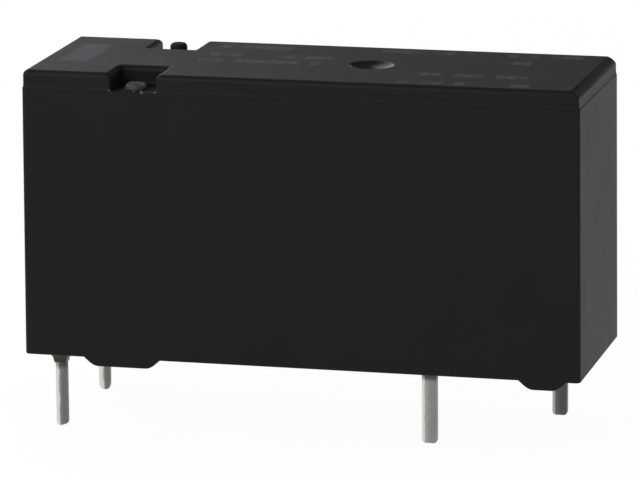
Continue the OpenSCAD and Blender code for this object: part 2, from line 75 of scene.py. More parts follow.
CAD_LOW, CAD_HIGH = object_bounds()
MM = 0.001
FRONT, BACK = -1, 1
HOUSING = "housing"
TEAR_SEED = 6
CASE_LOW, CASE_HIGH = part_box("case")
PIN_TIP = CAD_LOW.z
RESIN_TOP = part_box("sealing_resin")[1].z
QUARTER = math.pi / 2
CORNER_STEPS = 6
TIP_STEPS = 8
SPRING_SLICES = 40
HAIR = 0.005 * MM
LEAST_RADIUS = 0.03 * MM
WELD = 1e-8
SOLID_WELD = 1e-7

# Edges are sharp beyond this angle in degrees, and a face is flat if its normal is this near to an axis
SHARP_ANGLE = 35.0
FLAT_COSINE = 0.995

# Faint bars on the top: start and end along the relay, and place across it, in millimetres
PRINT_ROWS = (
    (-6.5, 0.0, 3.45), (-6.5, 0.3, 1.2), (-6.3, 0.4, -0.3), (1.4, 13.2, 3.75),
    (8.7, 11.1, 1.85), (5.3, 11.0, -1.9), (4.8, 11.5, -4.0),
)
PRINT_HEIGHT = 0.75 * MM
PRINT_STEP = 0.55 * MM
PRINT_EDGE = 0.08 * MM
PRINT_SEED = 31.7

# Crumbs of flash on the front notch's lower edge: place from the notch's middle, and size, in millimetres
FLASH_CRUMBS = ((0.47, 0.09), (1.14, 0.06), (0.04, 0.045), (-1.22, 0.05))
CRUMB_IN = 0.04 * MM

# The dent where a gate broke off: its middle and its size, in the gate's radius, and its depth in the tear's.
# The front gate's dent is also painted darker as painted shade.
DENT_MIDDLE = (0.15, -0.35)
DENT_SIZE = (0.5, 0.25)
DENT_DEPTH = 2.6


# Node trees

class Value:
    """A socket that adds Math nodes when it is used in an expression."""

    def __init__(self, nodes, socket):
        self.nodes = nodes
        self.socket = socket

    def _math(self, operation, first, second):
        return self.nodes.add("ShaderNodeMath", {"operation": operation}, {0: first, 1: second})

    def __add__(self, other):
        return self._math("ADD", self, other)

    def __radd__(self, other):
        return self._math("ADD", other, self)

    def __sub__(self, other):
        return self._math("SUBTRACT", self, other)

    def __rsub__(self, other):
        return self._math("SUBTRACT", other, self)

    def __mul__(self, other):
        return self._math("MULTIPLY", self, other)

    def __truediv__(self, other):
        return self._math("DIVIDE", self, other)

    def __abs__(self):
        return self._math("ABSOLUTE", self, 0.0)


class Nodes:
    """A node tree that is filled one node at a time."""

    def __init__(self, tree):
        self.tree = tree

    def add(self, kind, settings=None, sockets=None, output=0):
        """Adds a node, with its settings first and its sockets' values or links after. Returns one output."""
        node = self.tree.nodes.new(kind)
        for name, value in (settings or {}).items():
            setattr(node, name, value)
        for key, value in (sockets or {}).items():
            self.plug(node, key, value)
        return Value(self, self._find(node.outputs, output)) if node.outputs else node

    def plug(self, node, key, value):
        socket = self._find(node.inputs, key)
        for one in value if isinstance(value, list) else [value]:
            if isinstance(one, Value):
                self.tree.links.new(one.socket, socket)
            else:
                socket.default_value = one

    @staticmethod
    def _find(sockets, key):
        if isinstance(key, int):
            return sockets[key]
        return next(s for s in sockets if s.identifier == key or (s.name == key and s.enabled))


class Finish(Nodes):
    """A material under construction, built on one Principled shader."""

    def __init__(self, name, **constants):
        self.material = bpy.data.materials.new(name)
        self.material.use_nodes = True
        super().__init__(self.material.node_tree)
        self.shader = self.tree.nodes["Principled BSDF"]
        self.place = self.add("ShaderNodeTexCoord", output="Object")
        for key, value in constants.items():
            self.feed(key.replace("_", " "), value)

    def feed(self, name, value):
        self.plug(self.shader, name, value)

    def axes(self):
        """The three coordinates of a point, in metres."""
        split = self.add("ShaderNodeSeparateXYZ", sockets={0: self.place}).socket.node
        return [Value(self, s) for s in split.outputs]

    def noise(self, grain, detail=2.0, stretch=(1, 1, 1), roughness=0.5):
        """Noise from 0 to 1 with marks about as large as grain, drawn out along an axis by stretch."""
        scale = tuple(1 / (grain * s) for s in stretch)
        sockets = {"Vector": self.place, "Scale": scale}
        point = self.add("ShaderNodeMapping", {"vector_type": "POINT"}, sockets)
        sockets = {"Vector": point, "Scale": 1.0, "Detail": detail, "Roughness": roughness}
        return self.add("ShaderNodeTexNoise", sockets=sockets)

    def cells(self, grain):
        """Distance to the nearest of many scattered points, from 0."""
        return self.add("ShaderNodeTexVoronoi", sockets={"Vector": self.place, "Scale": 1 / grain})

    def ease(self, value, low, high):
        """0 below low and 1 above high, or the other way round where low is the larger."""
        sockets = {"Value": value, "From Min": low, "From Max": high}
        return self.add("ShaderNodeMapRange", {"interpolation_type": "SMOOTHSTEP"}, sockets)

    def mix(self, factor, first, second):
        """A colour between two colours."""
        sockets = {"Factor_Float": factor}
        for key, colour in (("A_Color", first), ("B_Color", second)):
            sockets[key] = (*colour, 1.0) if isinstance(colour, tuple) else colour
        return self.add("ShaderNodeMix", {"data_type": "RGBA"}, sockets, "Result_Color")

    def mark(self, name):
        """A number stored on the mesh."""
        return self.add("ShaderNodeAttribute", {"attribute_name": name}, output="Fac")

    def relief(self, height, depth, strength=1.0):
        """Surface relief of a given depth in metres."""
        sockets = {"Height": height, "Distance": depth, "Strength": strength}
        self.feed("Normal", self.add("ShaderNodeBump", sockets=sockets))


def shade(colour, times):
    """A colour made lighter or darker."""
    return tuple(channel * times for channel in colour)


# Finishes

def satin_plastic(name, colour, rough, specular, edge, polished):
    """Moulded plastic with a fine spark-eroded grain, cloudy gloss and paler or more polished edges."""
    finish = Finish(name, IOR=1.48, Specular_IOR_Level=specular)
    grain = finish.noise(0.09 * MM, 3.0)
    cloud = finish.noise(3.5 * MM, 3.0)
    polish = finish.mark("edge")
    tone = finish.mix(cloud, shade(colour, 0.86), shade(colour, 1.16))
    tone = finish.mix(polish * 0.5, tone, shade(colour, edge))
    gloss = rough + (cloud - 0.5) * 0.10 + (grain - 0.5) * 0.12 - polish * rough * polished
    finish.feed("Base Color", tone)
    finish.feed("Roughness", gloss)
    finish.relief(grain * 0.7 + finish.noise(0.4 * MM) * 0.3, 0.006 * MM, 0.6)
    return finish, tone, gloss


def printed_rows(finish, x, y):
    """Rows of small bars, with gaps left by chance."""
    place = x / PRINT_STEP
    cell = finish.add("ShaderNodeMath", {"operation": "FLOOR"}, {0: place})
    gap = finish.ease(abs(place - cell - 0.5), 0.47, 0.36)
    half = PRINT_HEIGHT / 2
    rows = 0.0
    for number, (start, end, across) in enumerate(PRINT_ROWS):
        seed = {"W": cell + PRINT_SEED * number}
        chance = finish.add("ShaderNodeTexWhiteNoise", {"noise_dimensions": "1D"}, seed)
        shown = finish.ease(chance, 0.28, 0.6)
        begun = finish.ease(x, start * MM, start * MM + PRINT_EDGE)
        going = finish.ease(x, end * MM, end * MM - PRINT_EDGE)
        wide = finish.ease(abs(y - across * MM), half + PRINT_EDGE, half - PRINT_EDGE)
        rows = begun * going * wide * shown + rows
    return rows * gap


def case_plastic(case):
    """The case's black plastic, with a pale coil mark, faint bars, a smoother vent mark and torn gates, and
    painted shade in the front gate's dent.
    """
    finish, tone, gloss = satin_plastic(
        "case_plastic", case.colour, case.roughness, case.specular, edge=1.2, polished=0.0
    )
    x, y, z = finish.axes()
    on_top = finish.ease(z, CASE_HIGH.z - 0.04 * MM, CASE_HIGH.z - 0.01 * MM)
    mark_x = abs(x - (CASE_LOW.x + case.mark_at))
    mark_y = abs(y - case.mark_aside)
    half_x, half_y = case.mark_length / 2, case.mark_width / 2
    along = finish.ease(mark_x, half_x + PRINT_EDGE, half_x - PRINT_EDGE)
    across = finish.ease(mark_y, half_y + PRINT_EDGE, half_y - PRINT_EDGE)
    wear_and_highlight = finish.ease(finish.noise(0.9 * MM, 4.0), 0.2, 0.65)
    mark = along * across * on_top * (0.6 + wear_and_highlight * 0.4)
    rows = printed_rows(finish, x, y) * on_top * case.print_strength
    from_vent = finish.add(
        "ShaderNodeVectorMath", {"operation": "DISTANCE"},
        {0: finish.place, 1: (CASE_LOW.x + case.vent_at, 0, CASE_HIGH.z)}, "Value",
    )
    dish = finish.ease(from_vent, case.vent_width * 0.52, case.vent_width * 0.46)
    # The torn mark also carries painted shade in the front gate's dent
    torn = finish.mark("torn")
    tone = finish.mix(rows, tone, tuple(case.print_colour))
    tone = finish.mix(mark, tone, tuple(case.mark_colour))
    finish.feed("Base Color", finish.mix(torn, tone, tuple(case.torn_colour)))
    finish.feed("Roughness", gloss + mark * 0.08 - dish * case.roughness * case.vent_gloss)
    return finish.material


def cured_resin(resin):
    """Dark olive casting resin, glossy where it ran smooth."""
    finish = Finish("sealing_resin", IOR=1.5, Specular_IOR_Level=0.4)
    flow = finish.noise(1.4 * MM, 3.0)
    fine = finish.noise(0.12 * MM, 2.0)
    bubbles = finish.ease(finish.cells(0.55 * MM), 0.10, 0.16)
    finish.feed("Base Color", finish.mix(flow, tuple(resin.dark), tuple(resin.light)))
    finish.feed("Roughness", 0.28 + flow * 0.18 + fine * 0.08)
    finish.relief(flow * 0.6 + bubbles * 0.3 + fine * 0.1, 0.03 * MM, 0.5)
    return finish.material


def tin_plate(pins, name, middle, half, highlight_width, film_end, tone):
    """Dull tin, drawn along the pin, with a painted highlight along its left edge, painted light and shade
    per pin set by tone, and a resin film at its top.
    """
    finish = Finish(name, IOR=1.6)
    x, _, z = finish.axes()
    drawn = finish.noise(0.05 * MM, 3.0, (1, 1, 14))
    mottle = finish.noise(0.16 * MM, 4.0, (1, 1, 2.2), 0.6)
    spots = finish.ease(finish.noise(0.11 * MM, 2.0, (1, 1, 1.8)), 0.56, 0.72)
    # Painted highlight: a light strip along the pin's left edge and a faint lightening beside it, standing in
    # for light from the left
    from_left = x - (middle - half) + (mottle - 0.5) * highlight_width * 0.7
    painted_highlight = finish.ease(from_left, highlight_width * 1.2, highlight_width * 0.8)
    painted_left_fade = finish.ease(from_left, 1.4 * half, highlight_width)
    film_z = z + (mottle - 0.5) * pins.film_edge
    film = finish.ease(film_z, film_end - pins.film_edge, film_end + pins.film_edge)
    film = film * finish.ease(film_z, RESIN_TOP + pins.film_edge, RESIN_TOP - pins.film_edge)
    # tone makes the whole tin lighter or darker: painted light and shade per pin
    dull = finish.mix(mottle, shade(pins.colour, 0.6 * tone), shade(pins.colour, 1.4 * tone))
    lined = finish.mix(drawn * 0.4 + spots * 0.35, dull, shade(pins.line_colour, tone))
    lit = finish.mix(painted_left_fade * 0.12, lined, shade(pins.highlight_colour, tone))
    wear_and_highlight = finish.mix(painted_highlight, lit, shade(pins.highlight_colour, min(tone, 1.0)))
    # The film's colour is thinned under the painted highlight
    film = film * (1 - painted_highlight * 0.4)
    finish.feed("Base Color", finish.mix(film, wear_and_highlight, tuple(pins.film_colour)))
    finish.feed("Metallic", 1 - film * 0.8)
    finish.feed("Roughness", 0.26 + mottle * 0.2 + drawn * 0.08)
    finish.relief(drawn * 0.4 + mottle * 0.4 + spots * 0.2, 0.014 * MM, 0.6)
    return finish.material


def enamelled_wire(coil):
    """Copper wire under clear enamel, each turn a little different."""
    finish = Finish("enamelled_copper", Coat_Weight=0.8, Coat_Roughness=0.12, Metallic=1.0)
    turn = finish.noise(0.13 * MM, 2.0, (1, 40, 40))
    smear = finish.noise(1.2 * MM, 2.0)
    finish.feed("Base Color", finish.mix(turn, tuple(coil.dark), tuple(coil.light)))
    finish.feed("Roughness", 0.2 + smear * 0.16)
    finish.relief(finish.noise(0.05 * MM), 0.003 * MM, 0.4)
    return finish.material


def rolled_metal(name, colour, along, rough=0.32, tarnish=0.8):
    """Sheet or bar metal with rolling lines along one axis and a light uneven tarnish."""
    finish = Finish(name, Metallic=1.0)
    stretch = tuple(24 if axis == along else 1 for axis in "xyz")
    lines = finish.noise(0.04 * MM, 3.0, stretch)
    cloud = finish.noise(1.6 * MM, 3.0)
    polish = finish.mark("edge")
    tone = finish.mix(cloud, shade(colour, tarnish), shade(colour, 1.08))
    finish.feed("Base Color", finish.mix(polish * 0.6, tone, shade(colour, 1.15)))
    finish.feed("Roughness", rough + cloud * 0.14 + (lines - 0.5) * 0.12 - polish * 0.08)
    finish.relief(lines * 0.7 + finish.noise(0.2 * MM) * 0.3, 0.006 * MM, 0.5)
    return finish.material


def contact_silver(contacts, centre):
    """Silver alloy with fine rings about the contact's axis and a dull bloom."""
    finish = Finish("contact_silver", Metallic=1.0)
    moved = finish.add("ShaderNodeVectorMath", {"operation": "SUBTRACT"}, {0: finish.place, 1: centre})
    flat = finish.add("ShaderNodeVectorMath", {"operation": "MULTIPLY"}, {0: moved, 1: (0, 1, 1)})
    radius = finish.add("ShaderNodeVectorMath", {"operation": "LENGTH"}, {0: flat}, "Value")
    rings = finish.add("ShaderNodeMath", {"operation": "SINE"}, {0: radius * (math.tau / (0.05 * MM))})
    bloom = finish.noise(0.5 * MM, 3.0)
    finish.feed("Base Color", finish.mix(bloom, tuple(contacts.dull), tuple(contacts.bright)))
    finish.feed("Roughness", 0.26 + bloom * 0.2 + rings * 0.03)
    finish.relief(rings * 0.5 + 0.5, 0.003 * MM, 0.4)
    return finish.material


# Mesh tools

def arc(centre, radius, start, end, steps):
    """Points on a circle from one angle to another."""
    cx, cy = centre
    angles = [start + (end - start) * i / steps for i in range(steps + 1)]
    return [(cx + radius * math.cos(a), cy + radius * math.sin(a)) for a in angles]


def rounded_box(half_x, half_y, radius, steps=6):
    """Points round a rectangle with round corners, anticlockwise from the right."""
    x, y = half_x - radius, half_y - radius
    points = []
    for i, corner in enumerate([(x, y), (-x, y), (-x, -y), (x, -y)]):
        points += arc(corner, radius, i * QUARTER, (i + 1) * QUARTER, steps)
    return points


def loft(bm, loops, caps=(True, True)):
    """Joins closed loops of equal length into a skin, and closes its ends."""
    rings = [[bm.verts.new(p) for p in loop] for loop in loops]
    for low, high in zip(rings, rings[1:]):
        for i in range(len(low)):
            j = (i + 1) % len(low)
            bm.faces.new((low[i], low[j], high[j], high[i]))
    if caps[0]:
        bm.faces.new(rings[0][::-1])
    if caps[1]:
        bm.faces.new(rings[-1])
    return rings


def turned(bm, profile, place, steps=64):
    """Turns (radius, distance) points about the Z axis into a closed solid, which place then moves."""
    rings = []
    for radius, along in profile:
        if radius < WELD:
            rings.append([bm.verts.new(place @ Vector((0, 0, along)))])
            continue
        circle = arc((0, 0), radius, 0, math.tau, steps)[:-1]
        rings.append([bm.verts.new(place @ Vector((x, y, along))) for x, y in circle])
    for low, high in zip(rings, rings[1:]):
        for i in range(steps):
            j = (i + 1) % steps
            corners = [low[i % len(low)], low[j % len(low)], high[j % len(high)], high[i % len(high)]]
            bm.faces.new(list(dict.fromkeys(corners)))


def quarter_steps(steps):
    """Angles from 0 to a quarter turn."""
    return [QUARTER * i / steps for i in range(steps + 1)]


def foot_edge(radius, at, r, steps):
    """The rounded lower edge of a turned piece, as (radius, distance) points."""
    angles = quarter_steps(steps)
    return [(radius - r * (1 - math.sin(a)), at + r * (1 - math.cos(a))) for a in angles]


def head_edge(radius, at, inwards, down, steps):
    """The rounded upper edge of a turned piece, as (radius, distance) points."""
    angles = quarter_steps(steps)
    return [(radius - inwards * (1 - math.cos(a)), at - down * (1 - math.sin(a))) for a in angles]


def along_x(origin, direction=1):
    """A frame whose Z axis lies along the relay."""
    return Matrix.Translation(origin) @ Matrix.Rotation(direction * QUARTER, 4, "Y")


def prism(bm, outline, low, high):
    """An upright solid on an outline."""
    return loft(bm, [[(x, y, z) for x, y in outline] for z in (low, high)])


def new_mesh(name, fill):
    """An object whose mesh is filled by a function, with its faces turned outwards."""
    bm = bmesh.new()
    fill(bm)
    bmesh.ops.remove_doubles(bm, verts=bm.verts, dist=WELD)
    bmesh.ops.recalc_face_normals(bm, faces=bm.faces)
    mesh = bpy.data.meshes.new(name)
    bm.to_mesh(mesh)
    bm.free()
    obj = bpy.data.objects.new(name, mesh)
    bpy.context.scene.collection.objects.link(obj)
    return obj


def settle(obj):
    """Turns an object's modifiers into a plain mesh."""
    graph = bpy.context.evaluated_depsgraph_get()
    mesh = bpy.data.meshes.new_from_object(obj.evaluated_get(graph))
    old = obj.data
    obj.modifiers.clear()
    obj.data = mesh
    if old.users == 0 and isinstance(old, bpy.types.Mesh):
        bpy.data.meshes.remove(old)
    mesh.name = obj.name
    return obj


def combine(obj, tool, operation):
    """Adds a tool to an object or cuts it away, and removes the tool."""
    step = obj.modifiers.new("combine", "BOOLEAN")
    step.operation = operation
    step.solver = "EXACT"
    step.object = tool
    settle(obj)
    bpy.data.objects.remove(tool)
    return obj


def is_flat(face):
    """Whether a face looks along an axis."""
    return max(abs(c) for c in face.normal) > FLAT_COSINE


def mark_edges(mesh):
    """Stores which faces belong to rounded edges: those that face along no axis."""
    values = [float(not is_flat(face)) for face in mesh.polygons]
    mesh.attributes.new("edge", "FLOAT", "FACE").data.foreach_set("value", values)


def smooth(obj, angle=SHARP_ANGLE):
    """Shades a mesh smoothly, with flat faces kept flat."""
    mesh = obj.data
    mesh.shade_smooth()
    mesh.set_sharp_from_angle(angle=math.radians(angle))
    step = obj.modifiers.new("flat faces", "WEIGHTED_NORMAL")
    step.keep_sharp = True
    step.weight = 80
    settle(obj)
    return obj


def softened(node, name, radius, steps=2, bends=()):
    """A copy of a solid with its sharp edges rounded. bends gives (test, radius, steps) for folded edges."""
    def fill(bm):
        bm.from_mesh(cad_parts[node].data)
        bmesh.ops.remove_doubles(bm, verts=bm.verts, dist=SOLID_WELD)
        bmesh.ops.dissolve_limit(bm, angle_limit=math.radians(0.5), verts=bm.verts, edges=bm.edges)
        for test, bend_radius, bend_steps in bends:
            round_edges(bm, [e for e in sharp_edges(bm) if test(e)], bend_radius, bend_steps)
        round_edges(bm, sharp_edges(bm), radius, steps)
    return new_mesh(name, fill)


def sharp_edges(bm):
    limit = math.radians(SHARP_ANGLE)
    return [e for e in bm.edges if len(e.link_faces) == 2 and e.calc_face_angle() > limit]


def round_edges(bm, edges, radius, steps):
    bmesh.ops.bevel(
        bm, geom=edges, offset=radius, offset_type="OFFSET", segments=steps, profile=0.5,
        affect="EDGES", clamp_overlap=True,
    )


def dress(obj, material, node, slot, body=HOUSING):
    """Gives a finished piece its material and its body, and hides the solid of the node that it stands for.
    """
    obj.data.materials.clear()
    obj.data.materials.append(material)
    if body:
        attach(obj, body)
    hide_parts(node)
    return obj


# Geometry node trees

class Tree(Nodes):
    """A geometry node tree with named inputs, run on one object and turned into a plain mesh."""

    def __init__(self, name, **inputs):
        super().__init__(bpy.data.node_groups.new(name, "GeometryNodeTree"))
        face = self.tree.interface
        face.new_socket(name="Geometry", in_out="INPUT", socket_type="NodeSocketGeometry")
        face.new_socket(name="Geometry", in_out="OUTPUT", socket_type="NodeSocketGeometry")
        self.values = {}
        for key, value in inputs.items():
            kind = {float: "NodeSocketFloat", int: "NodeSocketInt"}.get(type(value), "NodeSocketMaterial")
            socket = face.new_socket(name=key.replace("_", " "), in_out="INPUT", socket_type=kind)
            self.values[socket.identifier] = value
        self.entry = self.tree.nodes.new("NodeGroupInput")

    def given(self, name):
        return Value(self, self._find(self.entry.outputs, name.replace("_", " ")))

    def close(self, geometry):
        """Ends the tree in plain geometry with the given material."""
        real = self.add("GeometryNodeRealizeInstances", sockets={0: geometry})
        sockets = {"Geometry": real, "Material": self.given("Material")}
        self.add("NodeGroupOutput", sockets={0: self.add("GeometryNodeSetMaterial", sockets=sockets)})

    def tube(self, path):
        """A wire of the given thickness along a curve."""
        sockets = {"Resolution": self.given("Wire_Sides"), "Radius": self.given("Wire_Radius")}
        section = self.add("GeometryNodeCurvePrimitiveCircle", sockets=sockets)
        sockets = {"Curve": path, "Profile Curve": section, "Fill Caps": True}
        return self.add("GeometryNodeCurveToMesh", sockets=sockets)

    def offset(self, axis, distance):
        """A vector along one axis."""
        return self.add("ShaderNodeCombineXYZ", sockets={"XYZ".index(axis): distance})

    def raised(self, geometry, distance):
        """Geometry that is moved along Z."""
        sockets = {0: geometry, "Translation": self.offset("Z", distance)}
        return self.add("GeometryNodeTransform", sockets=sockets)

    def shaded(self, geometry):
        return self.add("GeometryNodeSetShadeSmooth", sockets={0: geometry, "Shade Smooth": True})

    def run(self, obj):
        step = obj.modifiers.new(self.tree.name, "NODES")
        step.node_group = self.tree
        for identifier, value in self.values.items():
            step[identifier] = value
        return settle(obj)


def wire_tree(name, material, thickness, sides):
    """Gives a path the thickness of a wire."""
    tree = Tree(name, Wire_Radius=thickness / 2, Wire_Sides=sides, Material=material)
    path = tree.add("GeometryNodeMeshToCurve", sockets={0: tree.given("Geometry")})
    tree.close(tree.shaded(tree.tube(path)))
    return tree


def winding_tree(coil, material, radius, inner, span):
    """Turns of wire laid side by side on a tube that stands for the turns below them."""
    wire = coil.wire
    tree = Tree(
        "winding_turns", Turns=span / wire - 1, Radius=radius - wire / 2, Length=span - wire,
        Wire_Radius=wire / 2, Steps=coil.turn_steps, Wire_Sides=coil.turn_sides, Tube_Steps=coil.tube_steps,
        Tube_Radius=(radius + inner - wire) / 2, Tube_Depth=radius - inner - wire, Tube_Length=span,
        Material=material,
    )
    helix = tree.add(
        "GeometryNodeCurveSpiral",
        sockets={
            "Resolution": tree.given("Steps"), "Rotations": tree.given("Turns"),
            "Start Radius": tree.given("Radius"), "End Radius": tree.given("Radius"),
            "Height": tree.given("Length"),
        },
    )
    turns = tree.raised(tree.tube(helix), tree.given("Wire_Radius"))
    sockets = {"Resolution": tree.given("Tube_Steps"), "Radius": tree.given("Tube_Radius")}
    ring = tree.add("GeometryNodeCurvePrimitiveCircle", sockets=sockets)
    sockets = {"Width": tree.given("Tube_Depth"), "Height": tree.given("Tube_Length")}
    block = tree.add("GeometryNodeCurvePrimitiveQuadrilateral", sockets=sockets)
    tube = tree.add("GeometryNodeCurveToMesh", sockets={"Curve": ring, "Profile Curve": block})
    under = tree.raised(tube, tree.given("Tube_Length") * 0.5)
    both = tree.add("GeometryNodeJoinGeometry", sockets={0: [turns, under]})
    tree.close(tree.shaded(both))
    return tree


def rivet_tree(material, count, pitch):
    """Sets copies of a rivet in a row across the relay, evenly about its middle."""
    tree = Tree("rivet_row", Count=count, Pitch=pitch, Material=material)
    first = (1 - tree.given("Count")) * tree.given("Pitch") * 0.5
    sockets = {
        "Count": tree.given("Count"), "Start Location": tree.offset("Y", first),
        "Offset": tree.offset("Y", tree.given("Pitch")),
    }
    row = tree.add("GeometryNodeMeshLine", {"mode": "OFFSET"}, sockets)
    sockets = {"Points": row, "Instance": tree.given("Geometry")}
    tree.close(tree.add("GeometryNodeInstanceOnPoints", sockets=sockets))
    return tree


# Settings

def length(label, text, millimetres):
    """A length that a user may change."""
    return bpy.props.FloatProperty(
        name=label, description=text, default=millimetres * MM, min=0.0, precision=6,
        unit="LENGTH", subtype="DISTANCE",
    )


def amount(label, text, value):
    """A share from 0 to 1 that a user may change."""
    return bpy.props.FloatProperty(
        name=label, description=text, default=value, min=0.0, max=1.0, subtype="FACTOR"
    )


def tint(label, text, value):
    """A colour that a user may change."""
    return bpy.props.FloatVectorProperty(
        name=label, description=text, default=value, min=0.0, max=1.0, size=3, subtype="COLOR"
    )


def factor(label, text, value):
    """A number that a user may change, where 1 is plain."""
    return bpy.props.FloatProperty(name=label, description=text, default=value, min=0.0)


def position(label, text, millimetres):
    """A place that a user may change."""
    return bpy.props.FloatVectorProperty(
        name=label, description=text, default=[c * MM for c in millimetres], size=3, unit="LENGTH",
        subtype="TRANSLATION",
    )


def angle(label, text, degrees):
    """An angle that a user may change."""
    return bpy.props.FloatProperty(
        name=label, description=text, default=math.radians(degrees), unit="ROTATION", subtype="ANGLE"
    )


def shift(label, text, millimetres):
    """A distance either way that a user may change."""
    return bpy.props.FloatProperty(
        name=label, description=text, default=millimetres * MM, precision=6, unit="LENGTH"
    )


def count(label, text, value, low, high):
    """A whole number that a user may change."""
    return bpy.props.IntProperty(name=label, description=text, default=value, min=low, max=high)


class RELAY_PG_case(bpy.types.PropertyGroup):
    """The moulded case."""

    edge_radius: length("Upright edges", "Radius of the case's upright edges", 0.25)
    top_radius: length("Top edges", "How far the edges round the top come in", 0.26)
    top_drop: length("Top edge height", "How far down the edges round the top reach", 0.3)
    end_radius: length("Contact end edge", "How far the top's edge at the contact end comes in", 0.46)
    end_drop: length("Contact end edge height", "How far down the contact end's edge reaches", 0.38)
    end_flat: factor("Contact end edge flatness", "1 for a round edge there, 2 for a chamfer", 1.5)
    rim_radius: length("Rim edges", "Radius of the edges round the rim", 0.07)
    draft: length("Draft", "How far each wall leans in from the board up to the top", 0.1)
    foot_height: length("Foot height", "How far the feet stand below the rim", 0.45)
    foot_slope: length("Foot slope", "Length of the curve at each end of a foot", 0.75)
    coil_foot: length("Coil foot", "Flat length of the feet near the coil end", 2.45)
    coil_foot_at: length("Coil foot place", "Distance of those feet from the coil end", 5.07)
    contact_foot: length("Contact foot", "Flat length of the feet near the contact end", 0.9)
    contact_foot_at: length("Contact foot place", "Distance of those feet from the contact end", 1.91)
    band_height: length("Band height", "Height of the band above the parting line", 0.9)
    band_inset: length("Band inset", "How far the band stands back from the walls", 0.05)
    band_flare: length("Band flare", "Height of the hollow curve at the band's foot", 0.34)
    parting_radius: length("Parting edge", "Radius of the walls' upper edge at the parting line", 0.012)
    wall: length("Wall", "Thickness of the walls", 0.7)
    cavity_corner: length("Cavity corner", "Radius of the hollow's upright corners", 0.1)
    roof: length("Roof", "Thickness of the roof", 0.8)
    notch_length: length("Notch length", "Length of the notches in the top's edges", 2.35)
    front_notch: length("Front notch depth", "How far the front notch reaches in", 2.4)
    back_notch: length("Back notch depth", "How far the back notch reaches in", 2.7)
    notch_at: length("Notch place", "Distance of the notches from the coil end", 5.85)
    notch_skin: length("Notch skin", "Plastic under and behind a notch", 0.55)
    notch_corner: length("Notch corner", "Radius of a notch's inner corners", 0.22)
    notch_fillet: length("Notch fillet", "Radius along a notch's floor", 0.06)
    notch_mouth: length("Notch mouth", "Radius of the upright edges at a notch's mouth", 0.12)
    gate_offset: length("Gate offset", "Distance of the gates from the notches' middle", 0.1)
    gate_in: length("Gate place", "Distance of the gates from the front and back faces", 1.05)
    front_gate: length("Front gate", "Height of the gate in the front notch", 0.28)
    front_gate_width: length("Front gate width", "Width of the gate in the front notch", 1.1)
    front_gate_round: length("Front gate rounding", "Rounding of the front gate's edge", 0.16)
    front_gate_tear: length("Front gate tear", "Unevenness of the front gate", 0.05)
    back_gate: length("Back gate", "Height of the gate in the back notch", 0.9)
    back_gate_width: length("Back gate width", "Width of the gate in the back notch", 0.88)
    back_gate_round: length("Back gate rounding", "Rounding of the back gate's edge", 0.2)
    back_gate_tear: length("Back gate tear", "Unevenness of the back gate", 0.015)
    vent_width: length("Vent mark", "Width of the dished vent mark", 2.3)
    vent_depth: length("Vent depth", "Depth of the vent mark", 0.28)
    vent_at: length("Vent place", "Distance of the vent mark from the coil end", 16.85)
    vent_gloss: amount("Vent gloss", "How much smoother the vent mark is", 0.5)
    mark_at: length("Coil mark place", "Distance of the coil mark's middle from the coil end", 1.92)
    mark_aside: length("Coil mark offset", "Distance of the coil mark behind the middle", 0.35)
    mark_length: length("Coil mark length", "Length of the coil mark along the case", 1.5)
    mark_width: length("Coil mark width", "Width of the coil mark across the case", 4.7)
    mark_colour: tint("Coil mark", "Colour of the coil mark", (0.048, 0.055, 0.064))
    print_colour: tint("Print", "Colour of the printed rows", (0.060, 0.060, 0.058))
    print_strength: amount("Print strength", "Strength of the printed rows", 0.6)
    torn_colour: tint("Torn plastic", "Colour of torn plastic on the gates", (0.075, 0.075, 0.08))
    colour: tint("Case plastic", "Colour of the case", (0.0085, 0.0085, 0.0095))
    roughness: amount("Roughness", "Roughness of the case", 0.5)
    specular: amount("Gloss", "Strength of the case's reflection", 0.09)


class RELAY_PG_pins(bpy.types.PropertyGroup):
    """The terminals' pins."""

    coil_side: length("Coil pin", "Side of the square coil pins", 0.6)
    coil_bevel: length("Coil pin bevel", "Rounding of the coil pins' edges", 0.2)
    contact_width: length("Contact pin", "Width of the contact pins", 0.75)
    contact_sheet: length("Contact sheet", "Thickness of the contact terminals", 0.5)
    contact_bevel: length("Contact pin bevel", "Rounding of the contact pins' edges", 0.08)
    front_tip: length("Front coil tip", "Length of the front coil pin's sheared tip", 0.26)
    front_slant: length("Front coil slant", "How far that tip slants", 0.11)
    back_tip: length("Back coil tip", "Length of the back coil pin's pointed tip", 0.4)
    contact_tip: length("Contact tip", "Length of the contact pins' rounded tips", 0.24)
    front_taper: length("Front coil taper", "How far the front coil pin's tip comes in", 0.12)
    back_taper: length("Back coil taper", "How far the back coil pin's tip comes in", 0.2)
    contact_taper: length("Contact taper", "How far the contact pins' tips come in", 0.13)
    colour: tint("Tin", "Colour of the dull tin", (0.155, 0.16, 0.15))
    line_colour: tint("Tin lines", "Colour of the drawn lines", (0.085, 0.09, 0.08))
    # Painted highlight: colour and widths of the light strip painted along each pin's left edge
    highlight_colour: tint("Burnished tin", "Colour of the burnished edge", (0.66, 0.67, 0.64))
    front_highlight_width: length("Front coil burnish", "Width of the front coil pin's burnished edge", 0.24)
    back_highlight_width: length("Back coil burnish", "Width of the back coil pin's burnished edge", 0.31)
    contact_highlight_width: length("Contact burnish", "Width of the contact pins' burnished edge", 0.16)
    # Painted light and shade: these factors make each pin's tin lighter or darker, as lit and shaded copies
    # of one tin
    coil_painted_light: factor("Coil pin tone", "Brightness of the coil pins' tin", 1.1)
    common_painted_light: factor("Common pin tone", "Brightness of the common pin's tin", 1.6)
    open_painted_shade: factor("Normally open pin tone", "Brightness of the normally open pin's tin", 0.6)
    film_colour: tint("Film", "Colour of the resin film on the pins", (0.040, 0.038, 0.018))
    film_edge: length("Film edge", "Unevenness of the film's edge", 0.16)
    coil_film: length("Coil film", "Distance of the film's end below the board on a coil pin", 0.4)
    contact_film: length("Contact film", "Distance of the film's end below the board on a contact pin", 0.0)


